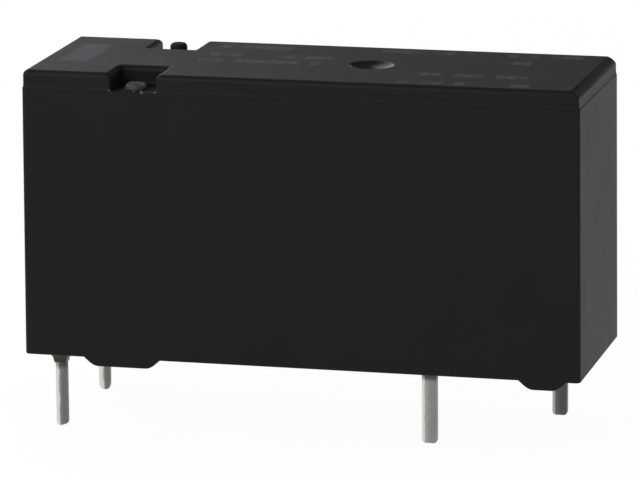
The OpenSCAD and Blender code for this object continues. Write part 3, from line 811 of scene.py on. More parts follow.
class RELAY_PG_resin(bpy.types.PropertyGroup):
    """The sealing resin."""

    recess: length("Recess", "How far the resin lies above the rim", 0.2)
    coil_collar: length("Coil collar", "Length of resin drawn down a coil pin", 0.8)
    contact_collar: length("Contact collar", "Length of resin drawn down a contact pin", 0.4)
    spread: length("Spread", "How far a collar spreads round its pin", 0.7)
    creep: length("Creep", "How far the resin creeps down the walls", 0.12)
    creep_reach: length("Creep reach", "How far from a wall the creep fades out", 0.2)
    wave: length("Wave", "Unevenness of the resin's surface", 0.03)
    wave_length: length("Wave length", "Distance over which the surface rises and falls", 2.2)
    coarse: length("Coarse step", "Step of the mesh away from the pins", 0.4)
    fine: length("Fine step", "Step of the mesh round the pins", 0.06)
    dark: tint("Dark resin", "Colour of the resin's dark streaks", (0.005, 0.005, 0.003))
    light: tint("Light resin", "Colour of the resin's light streaks", (0.016, 0.0145, 0.007))


class RELAY_PG_coil(bpy.types.PropertyGroup):
    """The winding and its leads."""

    wire: length("Wire", "Diameter of the wire", 0.12)
    sag: length("Sag", "How far the leads sag between pin and winding", 0.12)
    dark: tint("Dark turns", "Colour of the darkest turns", (0.42, 0.13, 0.045))
    light: tint("Light turns", "Colour of the lightest turns", (0.72, 0.29, 0.11))
    wrap_corner: length("Wrap corner", "Radius of the wire's bends round a pin", 0.1)
    turn_steps: count("Turn steps", "Straight steps in one turn of the winding", 44, 12, 96)
    turn_sides: count("Turn sides", "Sides of the wire in the winding", 6, 3, 16)
    tube_steps: count("Tube steps", "Straight steps round the tube under the turns", 96, 12, 256)
    lead_sides: count("Lead sides", "Sides of the wire in the leads", 8, 3, 16)
    wraps: count("Wraps", "Turns of wire round each coil pin", 5, 1, 12)


class RELAY_PG_edges(bpy.types.PropertyGroup):
    """The small edge radii of the inner pieces."""

    moulded: length("Moulded edges", "Radius of the edges of moulded pieces", 0.07)
    stamped: length("Stamped edges", "Radius of the edges of stamped iron", 0.06)
    spring: length("Spring edges", "Radius of the edges of springs", 0.025)
    fold: length("Fold", "Inner radius of the folds in iron", 0.35)
    turned: length("Turned edges", "Radius of the edges of turned and headed pieces", 0.06)


class RELAY_PG_moulded(bpy.types.PropertyGroup):
    """The moulded inner pieces."""

    base: tint("Base", "Colour of the base", (0.022, 0.021, 0.020))
    bobbin: tint("Bobbin", "Colour of the bobbin", (0.70, 0.67, 0.58))
    card: tint("Slide card", "Colour of the slide card", (0.62, 0.55, 0.39))
    roughness: amount("Roughness", "Roughness of the moulded inner pieces", 0.45)
    specular: amount("Gloss", "Strength of their reflection", 0.5)


class RELAY_PG_magnet(bpy.types.PropertyGroup):
    """The core, the yoke, the armature and the hinge spring."""

    shaft: length("Core shaft", "Radius of the core inside the bobbin", 1.8)
    spigot: length("Core spigot", "Radius of the core's end inside the yoke", 1.4)
    stake: length("Core stake", "Radius of the core's upset end", 1.7)
    dimple: length("Core dimple", "Depth of the dimple in the upset end", 0.08)
    dimple_radius: length("Core dimple radius", "Radius of that dimple", 0.765)
    iron: tint("Iron", "Colour of the dull plated iron", (0.50, 0.51, 0.52))
    steel: tint("Spring steel", "Colour of the hinge spring", (0.56, 0.54, 0.50))


class RELAY_PG_contacts(bpy.types.PropertyGroup):
    """The contacts, their spring and its rivets."""

    shank: length("Contact shank", "Radius of a contact's shank", 0.6)
    tail: length("Contact tail", "Height of a contact's upset tail", 0.2)
    crown: length("Contact crown", "Height of the moving contact's crown", 0.2)
    rivet_head: length("Rivet head", "Height of a rivet's head", 0.3)
    rivet_shank: length("Rivet shank", "Radius of a rivet's shank", 0.45)
    copper: tint("Spring copper", "Colour of the moving spring", (0.62, 0.36, 0.17))
    brass: tint("Rivet brass", "Colour of the rivets", (0.60, 0.45, 0.22))
    dull: tint("Dull silver", "Colour of a contact's bloom", (0.60, 0.585, 0.55))
    bright: tint("Bright silver", "Colour of a contact's clean metal", (0.86, 0.85, 0.82))


class RELAY_PG_stage(bpy.types.PropertyGroup):
    """The camera, the lamps and the floor."""

    azimuth: angle("Azimuth", "Turn of the camera round the relay", 14.216)
    elevation: angle("Elevation", "Height of the camera as an angle", 12.764)
    roll: angle("Roll", "Turn of the camera about its view", -0.46)
    distance: length("Distance", "Distance of the camera from its target", 245.023)
    target_height: length("Target height", "Height of the camera's target", 7.45)
    aside: shift("Aside", "Target's shift to the right in the view", -0.101)
    above: shift("Above", "Target's shift upwards in the view", -1.505)
    lens: bpy.props.FloatProperty(
        name="Lens", description="Focal length in millimetres", default=273.6, min=1.0, unit="CAMERA"
    )
    floor_size: length("Floor", "Side of the floor", 4000.0)
    floor_white: amount("Floor white", "Share of plain white in the floor", 0.95)
    floor_colour: tint("Floor colour", "Colour of the rest of the floor", (0.86, 0.86, 0.86))
    ceiling_level: amount("Ceiling level", "Brightness of the studio overhead", 0.05)
    fill_level: amount("Fill level", "Brightness of the soft fill", 0.7)
    horizon_low: amount("White horizon", "Height to which the surround is white, as a sine", 0.03)
    horizon_high: amount("Dim surround", "Height above which the surround is dim, as a sine", 0.27)
    left_place: position("Left lamp", "Place of the soft box on the left", (-550, 50, 350))
    left_side: length("Left lamp side", "Side of the soft box on the left", 400)
    left_level: factor("Left lamp level", "Brightness of the soft box on the left", 3.0)
    back_place: position("Back panel", "Place of the panel behind the coil end", (-290, 407, 228))
    back_width: length("Back panel width", "Width of the panel behind the coil end", 326)
    back_height: length("Back panel height", "Height of the panel behind the coil end", 433)
    back_level: factor("Back panel level", "Brightness of the panel behind the coil end", 1.35)
    near_place: position("Near lamp", "Place of the small lamp in front", (-62, -135, 85))
    near_side: length("Near lamp side", "Side of the small lamp in front", 60)
    near_level: factor("Near lamp level", "Brightness of the small lamp in front", 9.0)


# Pieces

def foot_drop(case, x):
    """How far the case's rim comes down at a place along the relay."""
    feet = [
        (CASE_LOW.x + case.coil_foot_at, case.coil_foot / 2),
        (CASE_HIGH.x - case.contact_foot_at, case.contact_foot / 2),
    ]
    drops = [1 - (abs(x - middle) - half) / case.foot_slope for middle, half in feet]
    return case.foot_height * math.sin(QUARTER * min(max(*drops, 0.0), 1.0))


def foot_stations(case, steps=10):
    """Places along the relay that a foot's outline needs."""
    stations = []
    for middle, flat in (
        (CASE_LOW.x + case.coil_foot_at, case.coil_foot),
        (CASE_HIGH.x - case.contact_foot_at, case.contact_foot),
    ):
        for i in range(steps + 1):
            reach = flat / 2 + case.foot_slope * i / steps
            stations += [middle - reach, middle + reach]
    return sorted(stations)


def case_loop(case, inset, end_inset, stations, height):
    """One level of the case's outside, with its own inset at the contact end, at a height for each X."""
    left, right, half_y = CASE_LOW.x + inset, CASE_HIGH.x - end_inset, CASE_HIGH.y - inset
    radius = max(case.edge_radius - inset, LEAST_RADIUS)
    y = half_y - radius
    middles = [(right - radius, -y), (right - radius, y), (left + radius, y), (left + radius, -y)]
    turns = [(i * QUARTER, (i + 1) * QUARTER) for i in range(-1, 3)]
    corners = [arc(middle, radius, *turn, CORNER_STEPS) for middle, turn in zip(middles, turns)]
    points = [(s, -half_y) for s in stations] + corners[0] + corners[1]
    points += [(s, half_y) for s in reversed(stations)] + corners[2] + corners[3]
    return [(px, py, height(px)) for px, py in points]


def leaning(case, z):
    """How far the walls have come in at a height."""
    return case.draft * (z - CASE_LOW.z) / (CASE_HIGH.z - CASE_LOW.z)


def case_outside(case):
    """The case's outside: feet, leaning walls, parting line, band with a hollow foot, and rounded top."""
    stations = foot_stations(case)
    rim = CASE_LOW.z + case.foot_height
    parting = CASE_HIGH.z - case.band_height
    wall = leaning(case, parting)
    ledge = wall + case.parting_radius
    band = wall + case.band_inset
    levels = []
    for a in quarter_steps(4):
        inset = case.rim_radius * (1 - math.sin(a))
        rise = case.rim_radius * (1 - math.cos(a))
        levels.append((inset, inset, lambda x, rise=rise: rim - foot_drop(case, x) + rise))
    for a in quarter_steps(3):
        inset = wall + case.parting_radius * (1 - math.cos(a))
        z = parting - case.parting_radius * (1 - math.sin(a))
        levels.append((inset, inset, lambda x, z=z: z))
    for a in quarter_steps(6)[1:]:
        inset = ledge + (band - ledge) * math.sin(a)
        z = parting + case.band_flare * (1 - math.cos(a))
        levels.append((inset, inset, lambda x, z=z: z))
    levels += [(band + inset, band + end, lambda x, z=z: z) for z, inset, end in top_edges(case)]

    def fill(bm):
        loops = [case_loop(case, inset, end, stations, height) for inset, end, height in levels]
        rings = loft(bm, loops, caps=(False, True))
        close_underside(bm, rings[0], len(stations))
    return new_mesh("case_shell", fill)


def close_underside(bm, ring, count):
    """Closes the underside with strips from front to back, so that the feet run across."""
    end = 2 * (CORNER_STEPS + 1)
    front = ring[:count]
    back = ring[count + end:2 * count + end][::-1]
    for i in range(count - 1):
        bm.faces.new((front[i], back[i], back[i + 1], front[i + 1]))
    bm.faces.new([front[-1], *ring[count:count + end], back[-1]][::-1])
    bm.faces.new([back[0], *ring[2 * count + end:], front[0]][::-1])


def notch_depth(case, side):
    return case.front_notch if side == FRONT else case.back_notch


def notch_outline(case, side, grow):
    """The plan of a notch as if it were at the front, grown into the case by a distance."""
    half = case.notch_length / 2 + grow
    mouth = CASE_LOW.y + leaning(case, CASE_HIGH.z - case.band_height) + case.band_inset + grow
    inner = CASE_LOW.y + notch_depth(case, side) + grow
    flare = case.notch_mouth
    corner = case.notch_corner
    right = [(half + flare, mouth - case.wall)]
    right += arc((half + flare, mouth + flare), flare, -QUARTER, -2 * QUARTER, 5)
    right += arc((half - corner, inner - corner), corner, 0, QUARTER, 6)
    left = [(-x, y) for x, y in reversed(right)]
    return right + left


def notch_tool(case, side):
    """What a notch cuts away: rounded at its mouth, its corners, its floor and its upper edge."""
    floor = CASE_HIGH.z - case.band_height - HAIR
    fillet = case.notch_fillet
    levels = [(floor + fillet * (1 - math.cos(a)), -fillet * (1 - math.sin(a))) for a in quarter_steps(3)]
    levels += [(z, inset) for z, inset, _ in top_edges(case)]
    levels.append((CASE_HIGH.z + case.band_height, case.top_radius))
    middle = CASE_LOW.x + case.notch_at

    def loop(z, grow):
        return [(middle + x, -side * y, z) for x, y in notch_outline(case, side, grow)]

    return new_mesh("notch_tool", lambda bm: loft(bm, [loop(z, grow) for z, grow in levels]))


def top_edges(case, steps=14):
    """The rounding round the top: heights, and how far the edges and the contact end's edge come in."""
    levels = []
    for a in quarter_steps(steps):
        below = case.end_drop * (1 - math.sin(a) ** case.end_flat)
        share = max(1 - below / case.top_drop, 0.0)
        inset = case.top_radius * (1 - math.sqrt(1 - share * share))
        levels.append((CASE_HIGH.z - below, inset, case.end_radius * (1 - math.cos(a) ** case.end_flat)))
    return levels


def vent_tool(case):
    """What the vent mark cuts away: a round dish with a soft rim."""
    half, depth, steps = case.vent_width / 2, case.vent_depth, 16
    ball = (half * half + depth * depth) / (2 * depth)
    reach = math.asin(half / ball)
    angles = [reach * i / steps for i in range(steps)]
    profile = [(ball * math.sin(a), ball * (1 - math.cos(a)) - depth) for a in angles]
    rim = half * 1.03
    profile += [(half, -0.02 * depth), (rim, 0.004 * depth), (rim, depth), (0.0, depth)]
    place = Matrix.Translation((CASE_LOW.x + case.vent_at, 0, CASE_HIGH.z))
    return new_mesh("vent_tool", lambda bm: turned(bm, profile, place, 72))


def gate_place(case, side):
    """The foot of a moulding gate."""
    x = CASE_LOW.x + case.notch_at - case.gate_offset
    return Vector((x, side * (CASE_HIGH.y - case.gate_in), CASE_HIGH.z - case.band_height))


def gate_dent(away):
    """Share of the dent that is left where a gate broke off, at a place measured in the gate's radius."""
    x = (away.x - DENT_MIDDLE[0]) / DENT_SIZE[0]
    y = (away.y - DENT_MIDDLE[1]) / DENT_SIZE[1]
    return math.exp(-x ** 2 - y ** 2)


def gate_stub(case, side, width, height, rounding, tear):
    """The stub of a moulding gate: rounded at its edge, torn by a depth, and dented where it broke off."""
    place = gate_place(case, side)
    radius = width / 2
    flat = radius - rounding
    root = -case.notch_skin / 2
    profile = [(0.0, root), (radius, root), (radius, (height - rounding) / 2)]
    profile += head_edge(radius, height, rounding, rounding, 7)
    profile += [(flat * share, height) for share in (0.86, 0.72, 0.58, 0.44, 0.3, 0.15, 0.0)]
    whole = place.z + 0.05 * MM
    coarse_grain, fine_grain = 0.3 * MM, 0.1 * MM

    def fill(bm):
        turned(bm, profile, Matrix.Translation(place), 48)
        for v in [v for v in bm.verts if v.co.z > whole]:
            away = (v.co - place) / radius
            coarse = noise.noise_vector(v.co / coarse_grain + Vector((side, 3.1, 0.7)))
            fine = noise.noise_vector(v.co / fine_grain + Vector((5.3, side, 2.9)))
            v.co += (coarse + fine * 0.5) * tear
            v.co.z -= DENT_DEPTH * tear * gate_dent(away)
            v.co.z = min(v.co.z, CASE_HIGH.z)
    return new_mesh("gate_stub", fill)


def crumb_place(case, along):
    """A place on the front notch's lower edge."""
    y = CASE_LOW.y + leaning(case, CASE_HIGH.z) + CRUMB_IN
    return Vector((CASE_LOW.x + case.notch_at + along * MM, y, CASE_HIGH.z - case.band_height))


def flash_crumb(case, along, size):
    """A crumb of moulding flash on the front notch's lower edge."""
    place = crumb_place(case, along)

    def fill(bm):
        bmesh.ops.create_icosphere(bm, subdivisions=2, radius=size * MM)
        for v in bm.verts:
            v.co = place + v.co * (1 + 0.45 * noise.noise(v.co / (size * MM) + Vector((along, 0, 0))))
    return new_mesh("flash_crumb", fill)


def mark_torn_and_dent_shade(case, mesh):
    """Stores how torn each face is: the front gate and the crumbs beside it, with a lower value in the gate's
    dent, which paints the dent darker as painted shade.
    """
    gate = gate_place(case, FRONT)
    reach = case.front_gate_width * 0.56
    crumbs = [(crumb_place(case, along), 1.6 * size * MM) for along, size in FLASH_CRUMBS]
    values = []
    for face in mesh.polygons:
        away = face.center - gate
        stub = abs(away.x) < reach and abs(away.y) < reach and away.z > 0.02 * MM
        crumb = not is_flat(face) and any((face.center - place).length < size for place, size in crumbs)
        # Painted shade: the dent's lower value darkens it
        values.append(0.7 - 0.6 * gate_dent(away / reach) if stub else float(crumb))
    mesh.attributes.new("torn", "FLOAT", "FACE").data.foreach_set("value", values)


def cavity_tools(case):
    """The hollow of the case, in two steps because the notches come down into it."""
    half_x, half_y = CASE_HIGH.x - case.wall, CASE_HIGH.y - case.wall
    step = CASE_HIGH.z - case.band_height - case.notch_skin
    middle, reach = CASE_LOW.x + case.notch_at, case.notch_length / 2 + case.notch_skin
    top = []
    for side in (BACK, FRONT):
        inner = CASE_HIGH.y - notch_depth(case, side) - case.notch_skin
        edge = [
            (half_x, half_y), (middle + reach, half_y), (middle + reach, inner), (middle - reach, inner),
            (middle - reach, half_y), (-half_x, half_y),
        ]
        top += [(x, side * y) for x, y in (edge if side == BACK else reversed(edge))]
    low = CASE_LOW.z - case.foot_height
    hollow = rounded_box(half_x, half_y, case.cavity_corner, 3)
    main = new_mesh("cavity", lambda bm: prism(bm, hollow, low, step))
    upper = new_mesh("upper_cavity", lambda bm: prism(bm, top, step - case.wall, CASE_HIGH.z - case.roof))
    return main, upper


class RELAY_OT_case(bpy.types.Operator):
    """Builds the black case with its feet, notches, gates and vent mark"""

    bl_idname = "relay.case"
    bl_label = "Case"

    def execute(self, context):
        case = context.scene.relay_case
        shell = case_outside(case)
        for side in (FRONT, BACK):
            combine(shell, notch_tool(case, side), "DIFFERENCE")
        combine(shell, vent_tool(case), "DIFFERENCE")
        noise.seed_set(TEAR_SEED)
        front_gate = gate_stub(
            case, FRONT, case.front_gate_width, case.front_gate, case.front_gate_round, case.front_gate_tear
        )
        back_gate = gate_stub(
            case, BACK, case.back_gate_width, case.back_gate, case.back_gate_round, case.back_gate_tear
        )
        crumbs = [flash_crumb(case, along, size) for along, size in FLASH_CRUMBS]
        for lump in (front_gate, back_gate, *crumbs):
            combine(shell, lump, "UNION")
        for tool in cavity_tools(case):
            combine(shell, tool, "DIFFERENCE")
        mark_edges(smooth(shell).data)
        mark_torn_and_dent_shade(case, shell.data)
        dress(shell, case_plastic(case), "case", "case_plastic")
        return {"FINISHED"}


def pin_rows(pins):
    """The middle of each pin in plan, by its node."""
    rows = {}
    for name in ("coil_terminal_front", "coil_terminal_back"):
        low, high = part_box(name)
        rows[name] = ((low.x + high.x) / 2, (low.y + high.y) / 2)
    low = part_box("common_terminal")[0]
    rows["common_terminal"] = (low.x + pins.contact_width / 2, low.y + pins.contact_sheet / 2)
    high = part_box("normally_open_terminal")[1]
    rows["normally_open_terminal"] = (high.x - pins.contact_width / 2, high.y - pins.contact_sheet / 2)
    return rows


def pin_section(pins, node):
    """Half of a pin's width and thickness."""
    if node.startswith("coil"):
        return pins.coil_side / 2, pins.coil_side / 2
    return pins.contact_width / 2, pins.contact_sheet / 2


def resin_lines(resin, low, high, places):
    """Mesh lines along one axis: close together near the pins, and on the pins' own sides."""
    lines = {low, high}
    for middle, half in places:
        lines |= {middle - half, middle + half, middle}
        reach = resin.fine
        while reach < resin.spread:
            lines |= {middle - half - reach, middle + half + reach}
            reach *= 1.35
    count = math.ceil((high - low) / resin.coarse)
    lines |= {low + (high - low) * i / count for i in range(count + 1)}
    kept = []
    fixed = {low, high} | {m + s * h for m, h in places for s in (-1, 1)}
    for line in sorted(x for x in lines if low <= x <= high):
        if kept and line - kept[-1] < resin.fine * 0.4:
            if line in fixed:
                kept[-1] = line
            continue
        kept.append(line)
    return kept


class RELAY_OT_resin(bpy.types.Operator):
    """Builds the resin that seals the underside and creeps down the pins"""

    bl_idname = "relay.resin"
    bl_label = "Sealing resin"

    def execute(self, context):
        resin, pins, case = context.scene.relay_resin, context.scene.relay_pins, context.scene.relay_case
        low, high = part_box("sealing_resin")
        surface = CASE_LOW.z + case.foot_height + resin.recess
        blades = [(place, pin_section(pins, node), node) for node, place in pin_rows(pins).items()]
        xs = resin_lines(resin, low.x, high.x, {(p[0], half[0]) for p, half, _ in blades})
        ys = resin_lines(resin, low.y, high.y, {(p[1], half[1]) for p, half, _ in blades})

        def height(x, y):
            drop = 0.0
            for (px, py), (half_x, half_y), node in blades:
                gap = math.hypot(max(abs(x - px) - half_x, 0), max(abs(y - py) - half_y, 0))
                collar = resin.coil_collar if node.startswith("coil") else resin.contact_collar
                drop = max(drop, collar * (1 - math.sqrt(min(gap / resin.spread, 1.0))))
            wall = min(x - low.x, high.x - x, y - low.y, high.y - y)
            drop = max(drop, resin.creep * math.exp(-wall / resin.creep_reach))
            wave = noise.noise(Vector((x, y, 0)) / resin.wave_length) * resin.wave
            return max(surface - drop + wave * (1 - min(drop / resin.creep, 1.0)), low.z)

        def inside_pin(x, y):
            return any(
                abs(x - px) < half_x and abs(y - py) < half_y for (px, py), (half_x, half_y), _ in blades
            )

        slab = new_mesh("sealing_resin_pour", lambda bm: grid_slab(bm, xs, ys, height, high.z, inside_pin))
        smooth(slab, 50)
        dress(slab, cured_resin(resin), "sealing_resin", "sealing_resin")
        return {"FINISHED"}


def grid_slab(bm, xs, ys, height, top, is_hole):
    """A closed slab on a grid, with a shaped underside, a flat top and open cells where a test says so."""
    under = {(i, j): bm.verts.new((x, y, height(x, y))) for i, x in enumerate(xs) for j, y in enumerate(ys)}
    over = {(i, j): bm.verts.new((x, y, top)) for i, x in enumerate(xs) for j, y in enumerate(ys)}
    cells = set()
    for i in range(len(xs) - 1):
        for j in range(len(ys) - 1):
            if not is_hole((xs[i] + xs[i + 1]) / 2, (ys[j] + ys[j + 1]) / 2):
                cells.add((i, j))
    for i, j in cells:
        ring = [(i, j), (i + 1, j), (i + 1, j + 1), (i, j + 1)]
        bm.faces.new([under[k] for k in reversed(ring)])
        bm.faces.new([over[k] for k in ring])
        for side, (di, dj) in enumerate(((0, -1), (1, 0), (0, 1), (-1, 0))):
            if (i + di, j + dj) not in cells:
                a, b = ring[side], ring[(side + 1) % 4]
                bm.faces.new((under[a], under[b], over[b], over[a]))
    bmesh.ops.delete(bm, geom=[v for v in bm.verts if not v.link_faces], context="VERTS")


def pin_blade(bm, place, half, bevel, tip, inset, slant, top):
    """A blade with rounded edges and a rounded tip that may be sheared at a slant. It starts at place."""
    loops = []
    for i in range(TIP_STEPS + 1):
        share = i / TIP_STEPS
        back = inset * (1 - math.sqrt(1 - (1 - share) ** 2))
        x_half, y_half = half[0] - back, half[1] - back
        ring = rounded_box(x_half, y_half, min(bevel, 0.9 * x_half, 0.9 * y_half), 3)
        lift = slant * (1 - share) / 2
        loops.append([
            (place.x + x, place.y + y, place.z + tip * share + lift * (1 + x / x_half)) for x, y in ring
        ])
    loops.append([(place.x + x, place.y + y, top) for x, y in rounded_box(*half, bevel, 3)])
    loft(bm, loops)


class RELAY_OT_terminals(bpy.types.Operator):
    """Builds the four tinned terminals with their pins and inner plates"""

    bl_idname = "relay.terminals"
    bl_label = "Terminals"

    def execute(self, context):
        pins, edges = context.scene.relay_pins, context.scene.relay_edges
        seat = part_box("base")[0].z
        tip, taper = pins.contact_tip, pins.contact_taper
        # Per pin: material name, width of its painted left highlight, its painted brightness factor, tip
        # length, taper and slant
        shapes = {
            "coil_terminal_front": (
                "tinned_coil_front", pins.front_highlight_width, pins.coil_painted_light,
                pins.front_tip, pins.front_taper, pins.front_slant,
            ),
            "coil_terminal_back": (
                "tinned_coil_back", pins.back_highlight_width, pins.coil_painted_light, pins.back_tip, pins.back_taper, 0.0,
            ),
            "common_terminal": (
                "tinned_common", pins.contact_highlight_width, pins.common_painted_light, tip, taper, 0.0,
            ),
            "normally_open_terminal": (
                "tinned_normally_open", pins.contact_highlight_width, pins.open_painted_shade, tip, taper, 0.0,
            ),
        }
        for node, (x, y) in pin_rows(pins).items():
            name, highlight_width, tone, *ending = shapes[node]
            low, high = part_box(node)
            half = pin_section(pins, node)
            is_coil = node.startswith("coil")
            bevel = pins.coil_bevel if is_coil else pins.contact_bevel
            film = pins.coil_film if is_coil else pins.contact_film
            top = high.z if is_coil else seat + pins.contact_sheet
            place = Vector((x, y, low.z))
            blade = new_mesh(node + "_blade", lambda bm: pin_blade(bm, place, half, bevel, *ending, top))
            if not is_coil:
                plate = softened(node, "plate", edges.spring)
                outline = rounded_box(CASE_HIGH.x, CASE_HIGH.y, MM)
                below = new_mesh("below", lambda bm: prism(bm, outline, 2 * PIN_TIP, seat))
                combine(plate, below, "DIFFERENCE")
                combine(blade, plate, "UNION")
            mark_edges(smooth(blade).data)
            tin = tin_plate(pins, name, x, half[0], highlight_width, -film, tone)
            dress(blade, tin, node, "tinned_copper")
        return {"FINISHED"}


def lead_path(coil, side, node):
    """The wire's way: round and round its pin, then to the winding's side, as points."""
    low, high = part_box(node)
    post_low, post_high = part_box("coil_terminal_front" if side == FRONT else "coil_terminal_back")
    centre = (post_low + post_high) / 2
    half = (post_high.x - post_low.x) / 2 + coil.wire / 2
    wrap_height = coil.wraps * coil.wire
    wrap_low = post_high.z - 2 * wrap_height + coil.wire / 2
    corner = rounded_box(half, half, coil.wrap_corner, 2)
    points = []
    for turn in range(coil.wraps):
        for i, (x, y) in enumerate(corner):
            share = (turn + i / len(corner)) / coil.wraps
            z = wrap_low + share * (wrap_height - coil.wire)
            points.append((centre.x + x, centre.y - side * y, z))
    start = Vector((centre.x + half, centre.y - side * half * 0.2, wrap_low + wrap_height - coil.wire))
    winding_low, winding_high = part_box("coil_winding")
    end_y = low.y + coil.wire / 2 if side == FRONT else high.y - coil.wire / 2
    end = Vector((high.x - coil.wire / 2, end_y, (winding_low.z + winding_high.z) / 2))
    steps = 8
    for i in range(1, steps + 1):
        sag = coil.sag * math.sin(math.pi * i / steps)
        points.append(start.lerp(end, i / steps) - Vector((0, 0, sag)))
    return points


class RELAY_OT_coil(bpy.types.Operator):
    """Winds the coil and wraps its leads round the coil pins"""

    bl_idname = "relay.coil"
    bl_label = "Coil"

    def execute(self, context):
        coil = context.scene.relay_coil
        wire = enamelled_wire(coil)
        low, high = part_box("coil_winding")
        inner = winding_bore()
        winding = new_mesh("winding", lambda bm: bm.verts.new((0, 0, 0)))
        tree = winding_tree(coil, wire, (high.z - low.z) / 2, inner, high.x - low.x)
        tree.run(winding)
        winding.data.transform(along_x((low.x, 0, (low.z + high.z) / 2)))
        dress(winding, wire, "coil_winding", "enamelled_copper")
        for side, node in ((FRONT, "coil_lead_front"), (BACK, "coil_lead_back")):
            points = lead_path(coil, side, node)

            def fill(bm):
                verts = [bm.verts.new(p) for p in points]
                for a, b in zip(verts, verts[1:]):
                    bm.edges.new((a, b))
            lead = new_mesh(node + "_wire", fill)
            wire_tree("lead_wire", wire, coil.wire, coil.lead_sides).run(lead)
            dress(lead, wire, node, "enamelled_copper")
        return {"FINISHED"}


def winding_bore():
    """Inner radius of the winding, read from its solid."""
    low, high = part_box("coil_winding")
    middle = (low.z + high.z) / 2
    return min(math.hypot(v.co.y, v.co.z - middle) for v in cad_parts["coil_winding"].data.vertices)


class RELAY_OT_moulded(bpy.types.Operator):
    """Builds the moulded inner pieces: base, bobbin and slide card"""

    bl_idname = "relay.moulded"
    bl_label = "Moulded inner pieces"

    def execute(self, context):
        edge, moulded = context.scene.relay_edges.moulded, context.scene.relay_moulded
        pieces = (
            ("base", "base_moulding", "base_plastic", moulded.base, HOUSING),
            ("bobbin", "bobbin_moulding", "bobbin_plastic", moulded.bobbin, HOUSING),
            ("actuator_card", "slide_card", "card_plastic", moulded.card, "card"),
        )
        for node, name, slot, tone, body in pieces:
            piece = smooth(softened(node, name, edge))
            mark_edges(piece.data)
            rough, specular = moulded.roughness, moulded.specular
            finish = satin_plastic(slot, tone, rough, specular, edge=1.12, polished=0.3)[0]
            dress(piece, finish.material, node, slot, body)
        return {"FINISHED"}


def core_profile(edges, magnet):
    """The core's turned outline, from the pole face to the upset end."""
    low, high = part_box("core")
    bobbin_low, bobbin_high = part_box("bobbin")
    pole = (high.z - low.z) / 2
    shaft, spigot, stake = magnet.shaft, magnet.spigot, magnet.stake
    r = edges.turned
    pole_end = bobbin_low.x - low.x
    shoulder = bobbin_high.x - low.x
    stake_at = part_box("yoke")[1].x - low.x
    end = high.x - low.x
    profile = [(0.0, 0.0)]
    profile += foot_edge(pole, 0.0, r, 4)
    profile += head_edge(pole, pole_end, r, r, 4)
    profile += [(shaft, pole_end), (shaft, shoulder), (spigot, shoulder), (spigot, stake_at)]
    profile += [(stake, stake_at)]
    profile += head_edge(stake, end, 2 * r, r, 4)
    profile += [(magnet.dimple_radius, end), (0.0, end - magnet.dimple)]
    return profile


class RELAY_OT_magnet(bpy.types.Operator):
    """Builds the core, yoke, armature and hinge spring"""

    bl_idname = "relay.magnet"
    bl_label = "Magnet"

    def execute(self, context):
        edges, magnet = context.scene.relay_edges, context.scene.relay_magnet
        iron = rolled_metal("soft_iron", magnet.iron, "z", 0.34)
        low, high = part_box("core")
        place = along_x((low.x, 0, (low.z + high.z) / 2))
        core = smooth(new_mesh("core_pin", lambda bm: turned(bm, core_profile(edges, magnet), place)))
        yoke_low, yoke_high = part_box("yoke")

        def bent(edge):
            start, end = (v.co for v in edge.verts)
            middle = (start + end) / 2
            across = abs(start.y - end.y) > MM
            leg = (yoke_low.x + yoke_high.x) / 2
            return across and middle.x > leg and middle.z < yoke_low.z + 2 * MM

        yoke = smooth(softened("yoke", "yoke_bracket", edges.stamped, 2, [(bent, edges.fold, 6)]))
        armature = smooth(softened("armature", "armature_plate", edges.stamped, 3))
        pieces = ((core, "core", HOUSING), (yoke, "yoke", HOUSING), (armature, "armature", "armature"))
        for piece, node, body in pieces:
            mark_edges(piece.data)
            dress(piece, iron, node, "soft_iron", body)
        leaf = smooth(softened("hinge_spring", "hinge_leaf", edges.spring))
        mark_edges(leaf.data)
        steel = rolled_metal("spring_steel", magnet.steel, "z", 0.26)
        dress(leaf, steel, "hinge_spring", "spring_steel")
        return {"FINISHED"}


def contact_profile(sheet, head, crown, radius, shank, tail, tail_radius, edge):
    """A riveted contact's outline: an upset tail, a shank through a sheet, and a head with a crown."""
    profile = [(0.0, -tail)]
    profile += foot_edge(tail_radius, -tail, edge, 3)
    profile += [(tail_radius, 0.0), (shank, 0.0), (shank, sheet), (radius, sheet)]
    rim = sheet + head - crown
    profile += head_edge(radius, rim, edge, edge, 3)
    inner, steps = radius - edge, 8
    for i in range(1, steps + 1):
        r = inner * (1 - i / steps)
        profile.append((r, rim + crown * (1 - (r / inner) ** 2)))
    return profile


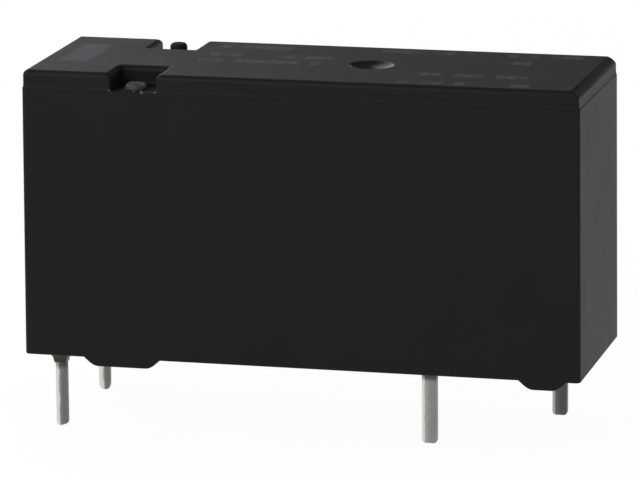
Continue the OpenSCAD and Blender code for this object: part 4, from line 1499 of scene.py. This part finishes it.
class RELAY_OT_contacts(bpy.types.Operator):
    """Builds the moving spring, its rivets and the two contacts"""

    bl_idname = "relay.contacts"
    bl_label = "Contacts"

    def execute(self, context):
        edges, contacts = context.scene.relay_edges, context.scene.relay_contacts
        copper = rolled_metal("spring_copper", contacts.copper, "z", 0.24, 0.86)
        low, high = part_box("moving_spring")
        spring = softened("moving_spring", "moving_leaf", edges.spring)
        slice_up(spring, low.z, high.z, SPRING_SLICES)
        smooth(spring)
        mark_edges(spring.data)
        dress(spring, copper, "moving_spring", "spring_copper", None)
        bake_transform(spring)
        leaf, plate = high.x - low.x, context.scene.relay_pins.contact_sheet
        self.riveted(context, "moving_contact", "moving_button", leaf, contacts.crown, 1, "contact_spring")
        self.riveted(context, "fixed_contact", "fixed_button", plate, 0.0, -1, HOUSING)
        self.rivets(contacts)
        return {"FINISHED"}

    def riveted(self, context, node, name, sheet, crown, direction, body):
        edges, contacts = context.scene.relay_edges, context.scene.relay_contacts
        low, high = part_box(node)
        radius = (high.z - low.z) / 2
        shank, tail = contacts.shank, contacts.tail
        head = high.x - low.x - tail - sheet
        centre = ((low.x + tail) if direction > 0 else (high.x - tail), 0, (low.z + high.z) / 2)
        profile = contact_profile(sheet, head, crown, radius, shank, tail, (shank + radius) / 2, edges.turned)
        piece = smooth(new_mesh(name, lambda bm: turned(bm, profile, along_x(centre, direction))))
        silver = contact_silver(contacts, (0, 0, centre[2]))
        dress(piece, silver, node, "contact_silver", body)

    def rivets(self, contacts):
        low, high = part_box("spring_rivets")
        radius = (high.z - low.z) / 2
        reach = high.x - low.x
        head, shank = contacts.rivet_head, contacts.rivet_shank
        r = head * 0.6
        profile = [(0.0, 0.0)]
        profile += foot_edge(radius, 0.0, r, 5)
        profile += [(radius, head), (shank, head), (shank, reach - head), (radius, reach - head)]
        profile += head_edge(radius, reach, r, r, 5)
        profile += [(0.0, reach)]
        place = along_x((low.x, 0, (low.z + high.z) / 2))
        brass = rolled_metal("rivet_brass", contacts.brass, "x", 0.3)
        piece = new_mesh("spring_rivet_pair", lambda bm: turned(bm, profile, place, 48))
        rivet_tree(brass, 2, high.y - low.y - 2 * radius).run(piece)
        mark_edges(smooth(piece).data)
        dress(piece, brass, "spring_rivets", "rivet_brass")


def slice_up(obj, low, high, steps):
    """Cuts a piece into level slices, where it could bend; nothing here bends it."""
    bm = bmesh.new()
    bm.from_mesh(obj.data)
    for i in range(1, steps):
        z = low + (high - low) * i / steps
        geometry = bm.verts[:] + bm.edges[:] + bm.faces[:]
        bmesh.ops.bisect_plane(bm, geom=geometry, dist=WELD, plane_co=(0, 0, z), plane_no=(0, 0, 1))
    bm.to_mesh(obj.data)
    bm.free()


# Stage

def seen_rays(nodes):
    """1 for the rays that show the background: straight from the camera, mirrored or passed through."""
    paths = [
        nodes.add("ShaderNodeLightPath", output=name)
        for name in ("Is Camera Ray", "Is Glossy Ray", "Is Transmission Ray")
    ]
    return paths[0] + paths[1] + paths[2]


def white_floor(stage):
    """A pale floor that looks white, also in reflections, and keeps the relay's shadow."""
    half = stage.floor_size / 2
    corners = ((-half, -half), (half, -half), (half, half), (-half, half))
    floor = new_mesh("floor", lambda bm: bm.faces.new([bm.verts.new((x, y, PIN_TIP)) for x, y in corners]))
    material = bpy.data.materials.new("studio_floor")
    material.use_nodes = True
    material.cycles.emission_sampling = "NONE"
    nodes = Nodes(material.node_tree)
    nodes.tree.nodes.clear()
    pale = nodes.add("ShaderNodeBsdfDiffuse", sockets={"Color": (*stage.floor_colour, 1)})
    white = nodes.add("ShaderNodeEmission", sockets={"Color": (1, 1, 1, 1), "Strength": 1.0})
    shown = seen_rays(nodes) * stage.floor_white
    both = nodes.add("ShaderNodeMixShader", sockets={0: shown, 1: pale, 2: white})
    nodes.add("ShaderNodeOutputMaterial", sockets={"Surface": both})
    floor.data.materials.append(material)


def studio_world(scene, stage):
    """A surround that is white at the horizon and dim overhead, with a plain level for soft fill."""
    world = bpy.data.worlds.new("studio")
    world.use_nodes = True
    world.cycles.sampling_method = "NONE"
    nodes = Nodes(world.node_tree)
    nodes.tree.nodes.clear()
    direction = nodes.add("ShaderNodeTexCoord", output="Generated")
    height = nodes.add("ShaderNodeSeparateXYZ", sockets={0: direction}, output="Z")
    sockets = {
        "Value": height, "From Min": stage.horizon_low, "From Max": stage.horizon_high,
        "To Min": 1.0, "To Max": stage.ceiling_level,
    }
    seen = nodes.add("ShaderNodeMapRange", {"interpolation_type": "SMOOTHSTEP"}, sockets)
    rays = seen_rays(nodes)
    level = seen * rays + (1 - rays) * stage.fill_level
    sky = nodes.add("ShaderNodeBackground", sockets={"Color": (1, 1, 1, 1), "Strength": level})
    nodes.add("ShaderNodeOutputWorld", sockets={"Surface": sky})
    scene.world = world


def lamp(name, place, width, height, level):
    """A soft box that faces the relay, about as bright as a white surface times its level."""
    data = bpy.data.lights.new(name, "AREA")
    data.shape = "RECTANGLE"
    data.size, data.size_y = width, height
    data.energy = level * math.pi * width * height
    obj = bpy.data.objects.new(name, data)
    obj.location = place
    obj.rotation_mode = "QUATERNION"
    obj.rotation_quaternion = (-Vector(place)).to_track_quat("-Z", "Y")
    bpy.context.scene.collection.objects.link(obj)


def photo_camera(stage):
    """The camera at the photograph's view."""
    a, e, r = stage.azimuth, stage.elevation, stage.roll
    back = Vector((math.sin(a) * math.cos(e), -math.cos(a) * math.cos(e), math.sin(e)))
    level = (-back).cross(Vector((0, 0, 1))).normalized()
    upright = level.cross(-back)
    right = math.cos(r) * level + math.sin(r) * upright
    up = math.cos(r) * upright - math.sin(r) * level
    target = Vector((0, 0, stage.target_height)) + stage.aside * right + stage.above * up
    data = bpy.data.cameras.new("camera")
    data.lens = stage.lens
    data.sensor_width = 36.0
    data.clip_start, data.clip_end = 0.01, 20.0
    camera = bpy.data.objects.new("camera", data)
    turn = Matrix((right, up, back)).transposed().to_4x4()
    camera.matrix_world = Matrix.Translation(target + stage.distance * back) @ turn
    bpy.context.scene.collection.objects.link(camera)
    bpy.context.scene.camera = camera


class RELAY_OT_stage(bpy.types.Operator):
    """Sets up the floor, the soft lamps and the camera"""

    bl_idname = "relay.stage"
    bl_label = "Stage"

    def execute(self, context):
        stage = context.scene.relay_stage
        white_floor(stage)
        studio_world(context.scene, stage)
        lamp("left_lamp", stage.left_place, stage.left_side, stage.left_side, stage.left_level)
        lamp("back_panel", stage.back_place, stage.back_width, stage.back_height, stage.back_level)
        lamp("near_lamp", stage.near_place, stage.near_side, stage.near_side, stage.near_level)
        photo_camera(stage)
        context.scene.view_settings.view_transform = "Standard"
        return {"FINISHED"}


OPERATORS = (
    RELAY_OT_case, RELAY_OT_resin, RELAY_OT_terminals, RELAY_OT_coil, RELAY_OT_moulded, RELAY_OT_magnet,
    RELAY_OT_contacts, RELAY_OT_stage,
)
SETTINGS = {
    "relay_case": RELAY_PG_case, "relay_pins": RELAY_PG_pins, "relay_resin": RELAY_PG_resin,
    "relay_coil": RELAY_PG_coil, "relay_moulded": RELAY_PG_moulded, "relay_magnet": RELAY_PG_magnet,
    "relay_contacts": RELAY_PG_contacts, "relay_edges": RELAY_PG_edges, "relay_stage": RELAY_PG_stage,
}


class RELAY_PT_panel(bpy.types.Panel):
    """Lists the relay's pieces and their settings"""

    bl_idname = "RELAY_PT_panel"
    bl_label = "Relay"
    bl_space_type = "VIEW_3D"
    bl_region_type = "UI"
    bl_category = "Relay"

    def draw(self, context):
        for operator in OPERATORS:
            self.layout.operator(operator.bl_idname)
        for name, group in SETTINGS.items():
            box = self.layout.box()
            box.label(text=group.__doc__)
            for key in group.__annotations__:
                box.prop(getattr(context.scene, name), key)


def register():
    for name, group in SETTINGS.items():
        bpy.utils.register_class(group)
        setattr(bpy.types.Scene, name, bpy.props.PointerProperty(type=group))
    for operator in OPERATORS:
        bpy.utils.register_class(operator)
    bpy.utils.register_class(RELAY_PT_panel)


def unregister():
    bpy.utils.unregister_class(RELAY_PT_panel)
    for operator in reversed(OPERATORS):
        bpy.utils.unregister_class(operator)
    for name, group in reversed(SETTINGS.items()):
        delattr(bpy.types.Scene, name)
        bpy.utils.unregister_class(group)


def main():
    register()
    for operator in OPERATORS:
        group, name = operator.bl_idname.split(".")
        getattr(getattr(bpy.ops, group), name)()
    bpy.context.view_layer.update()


if __name__ == "__main__":
    main()
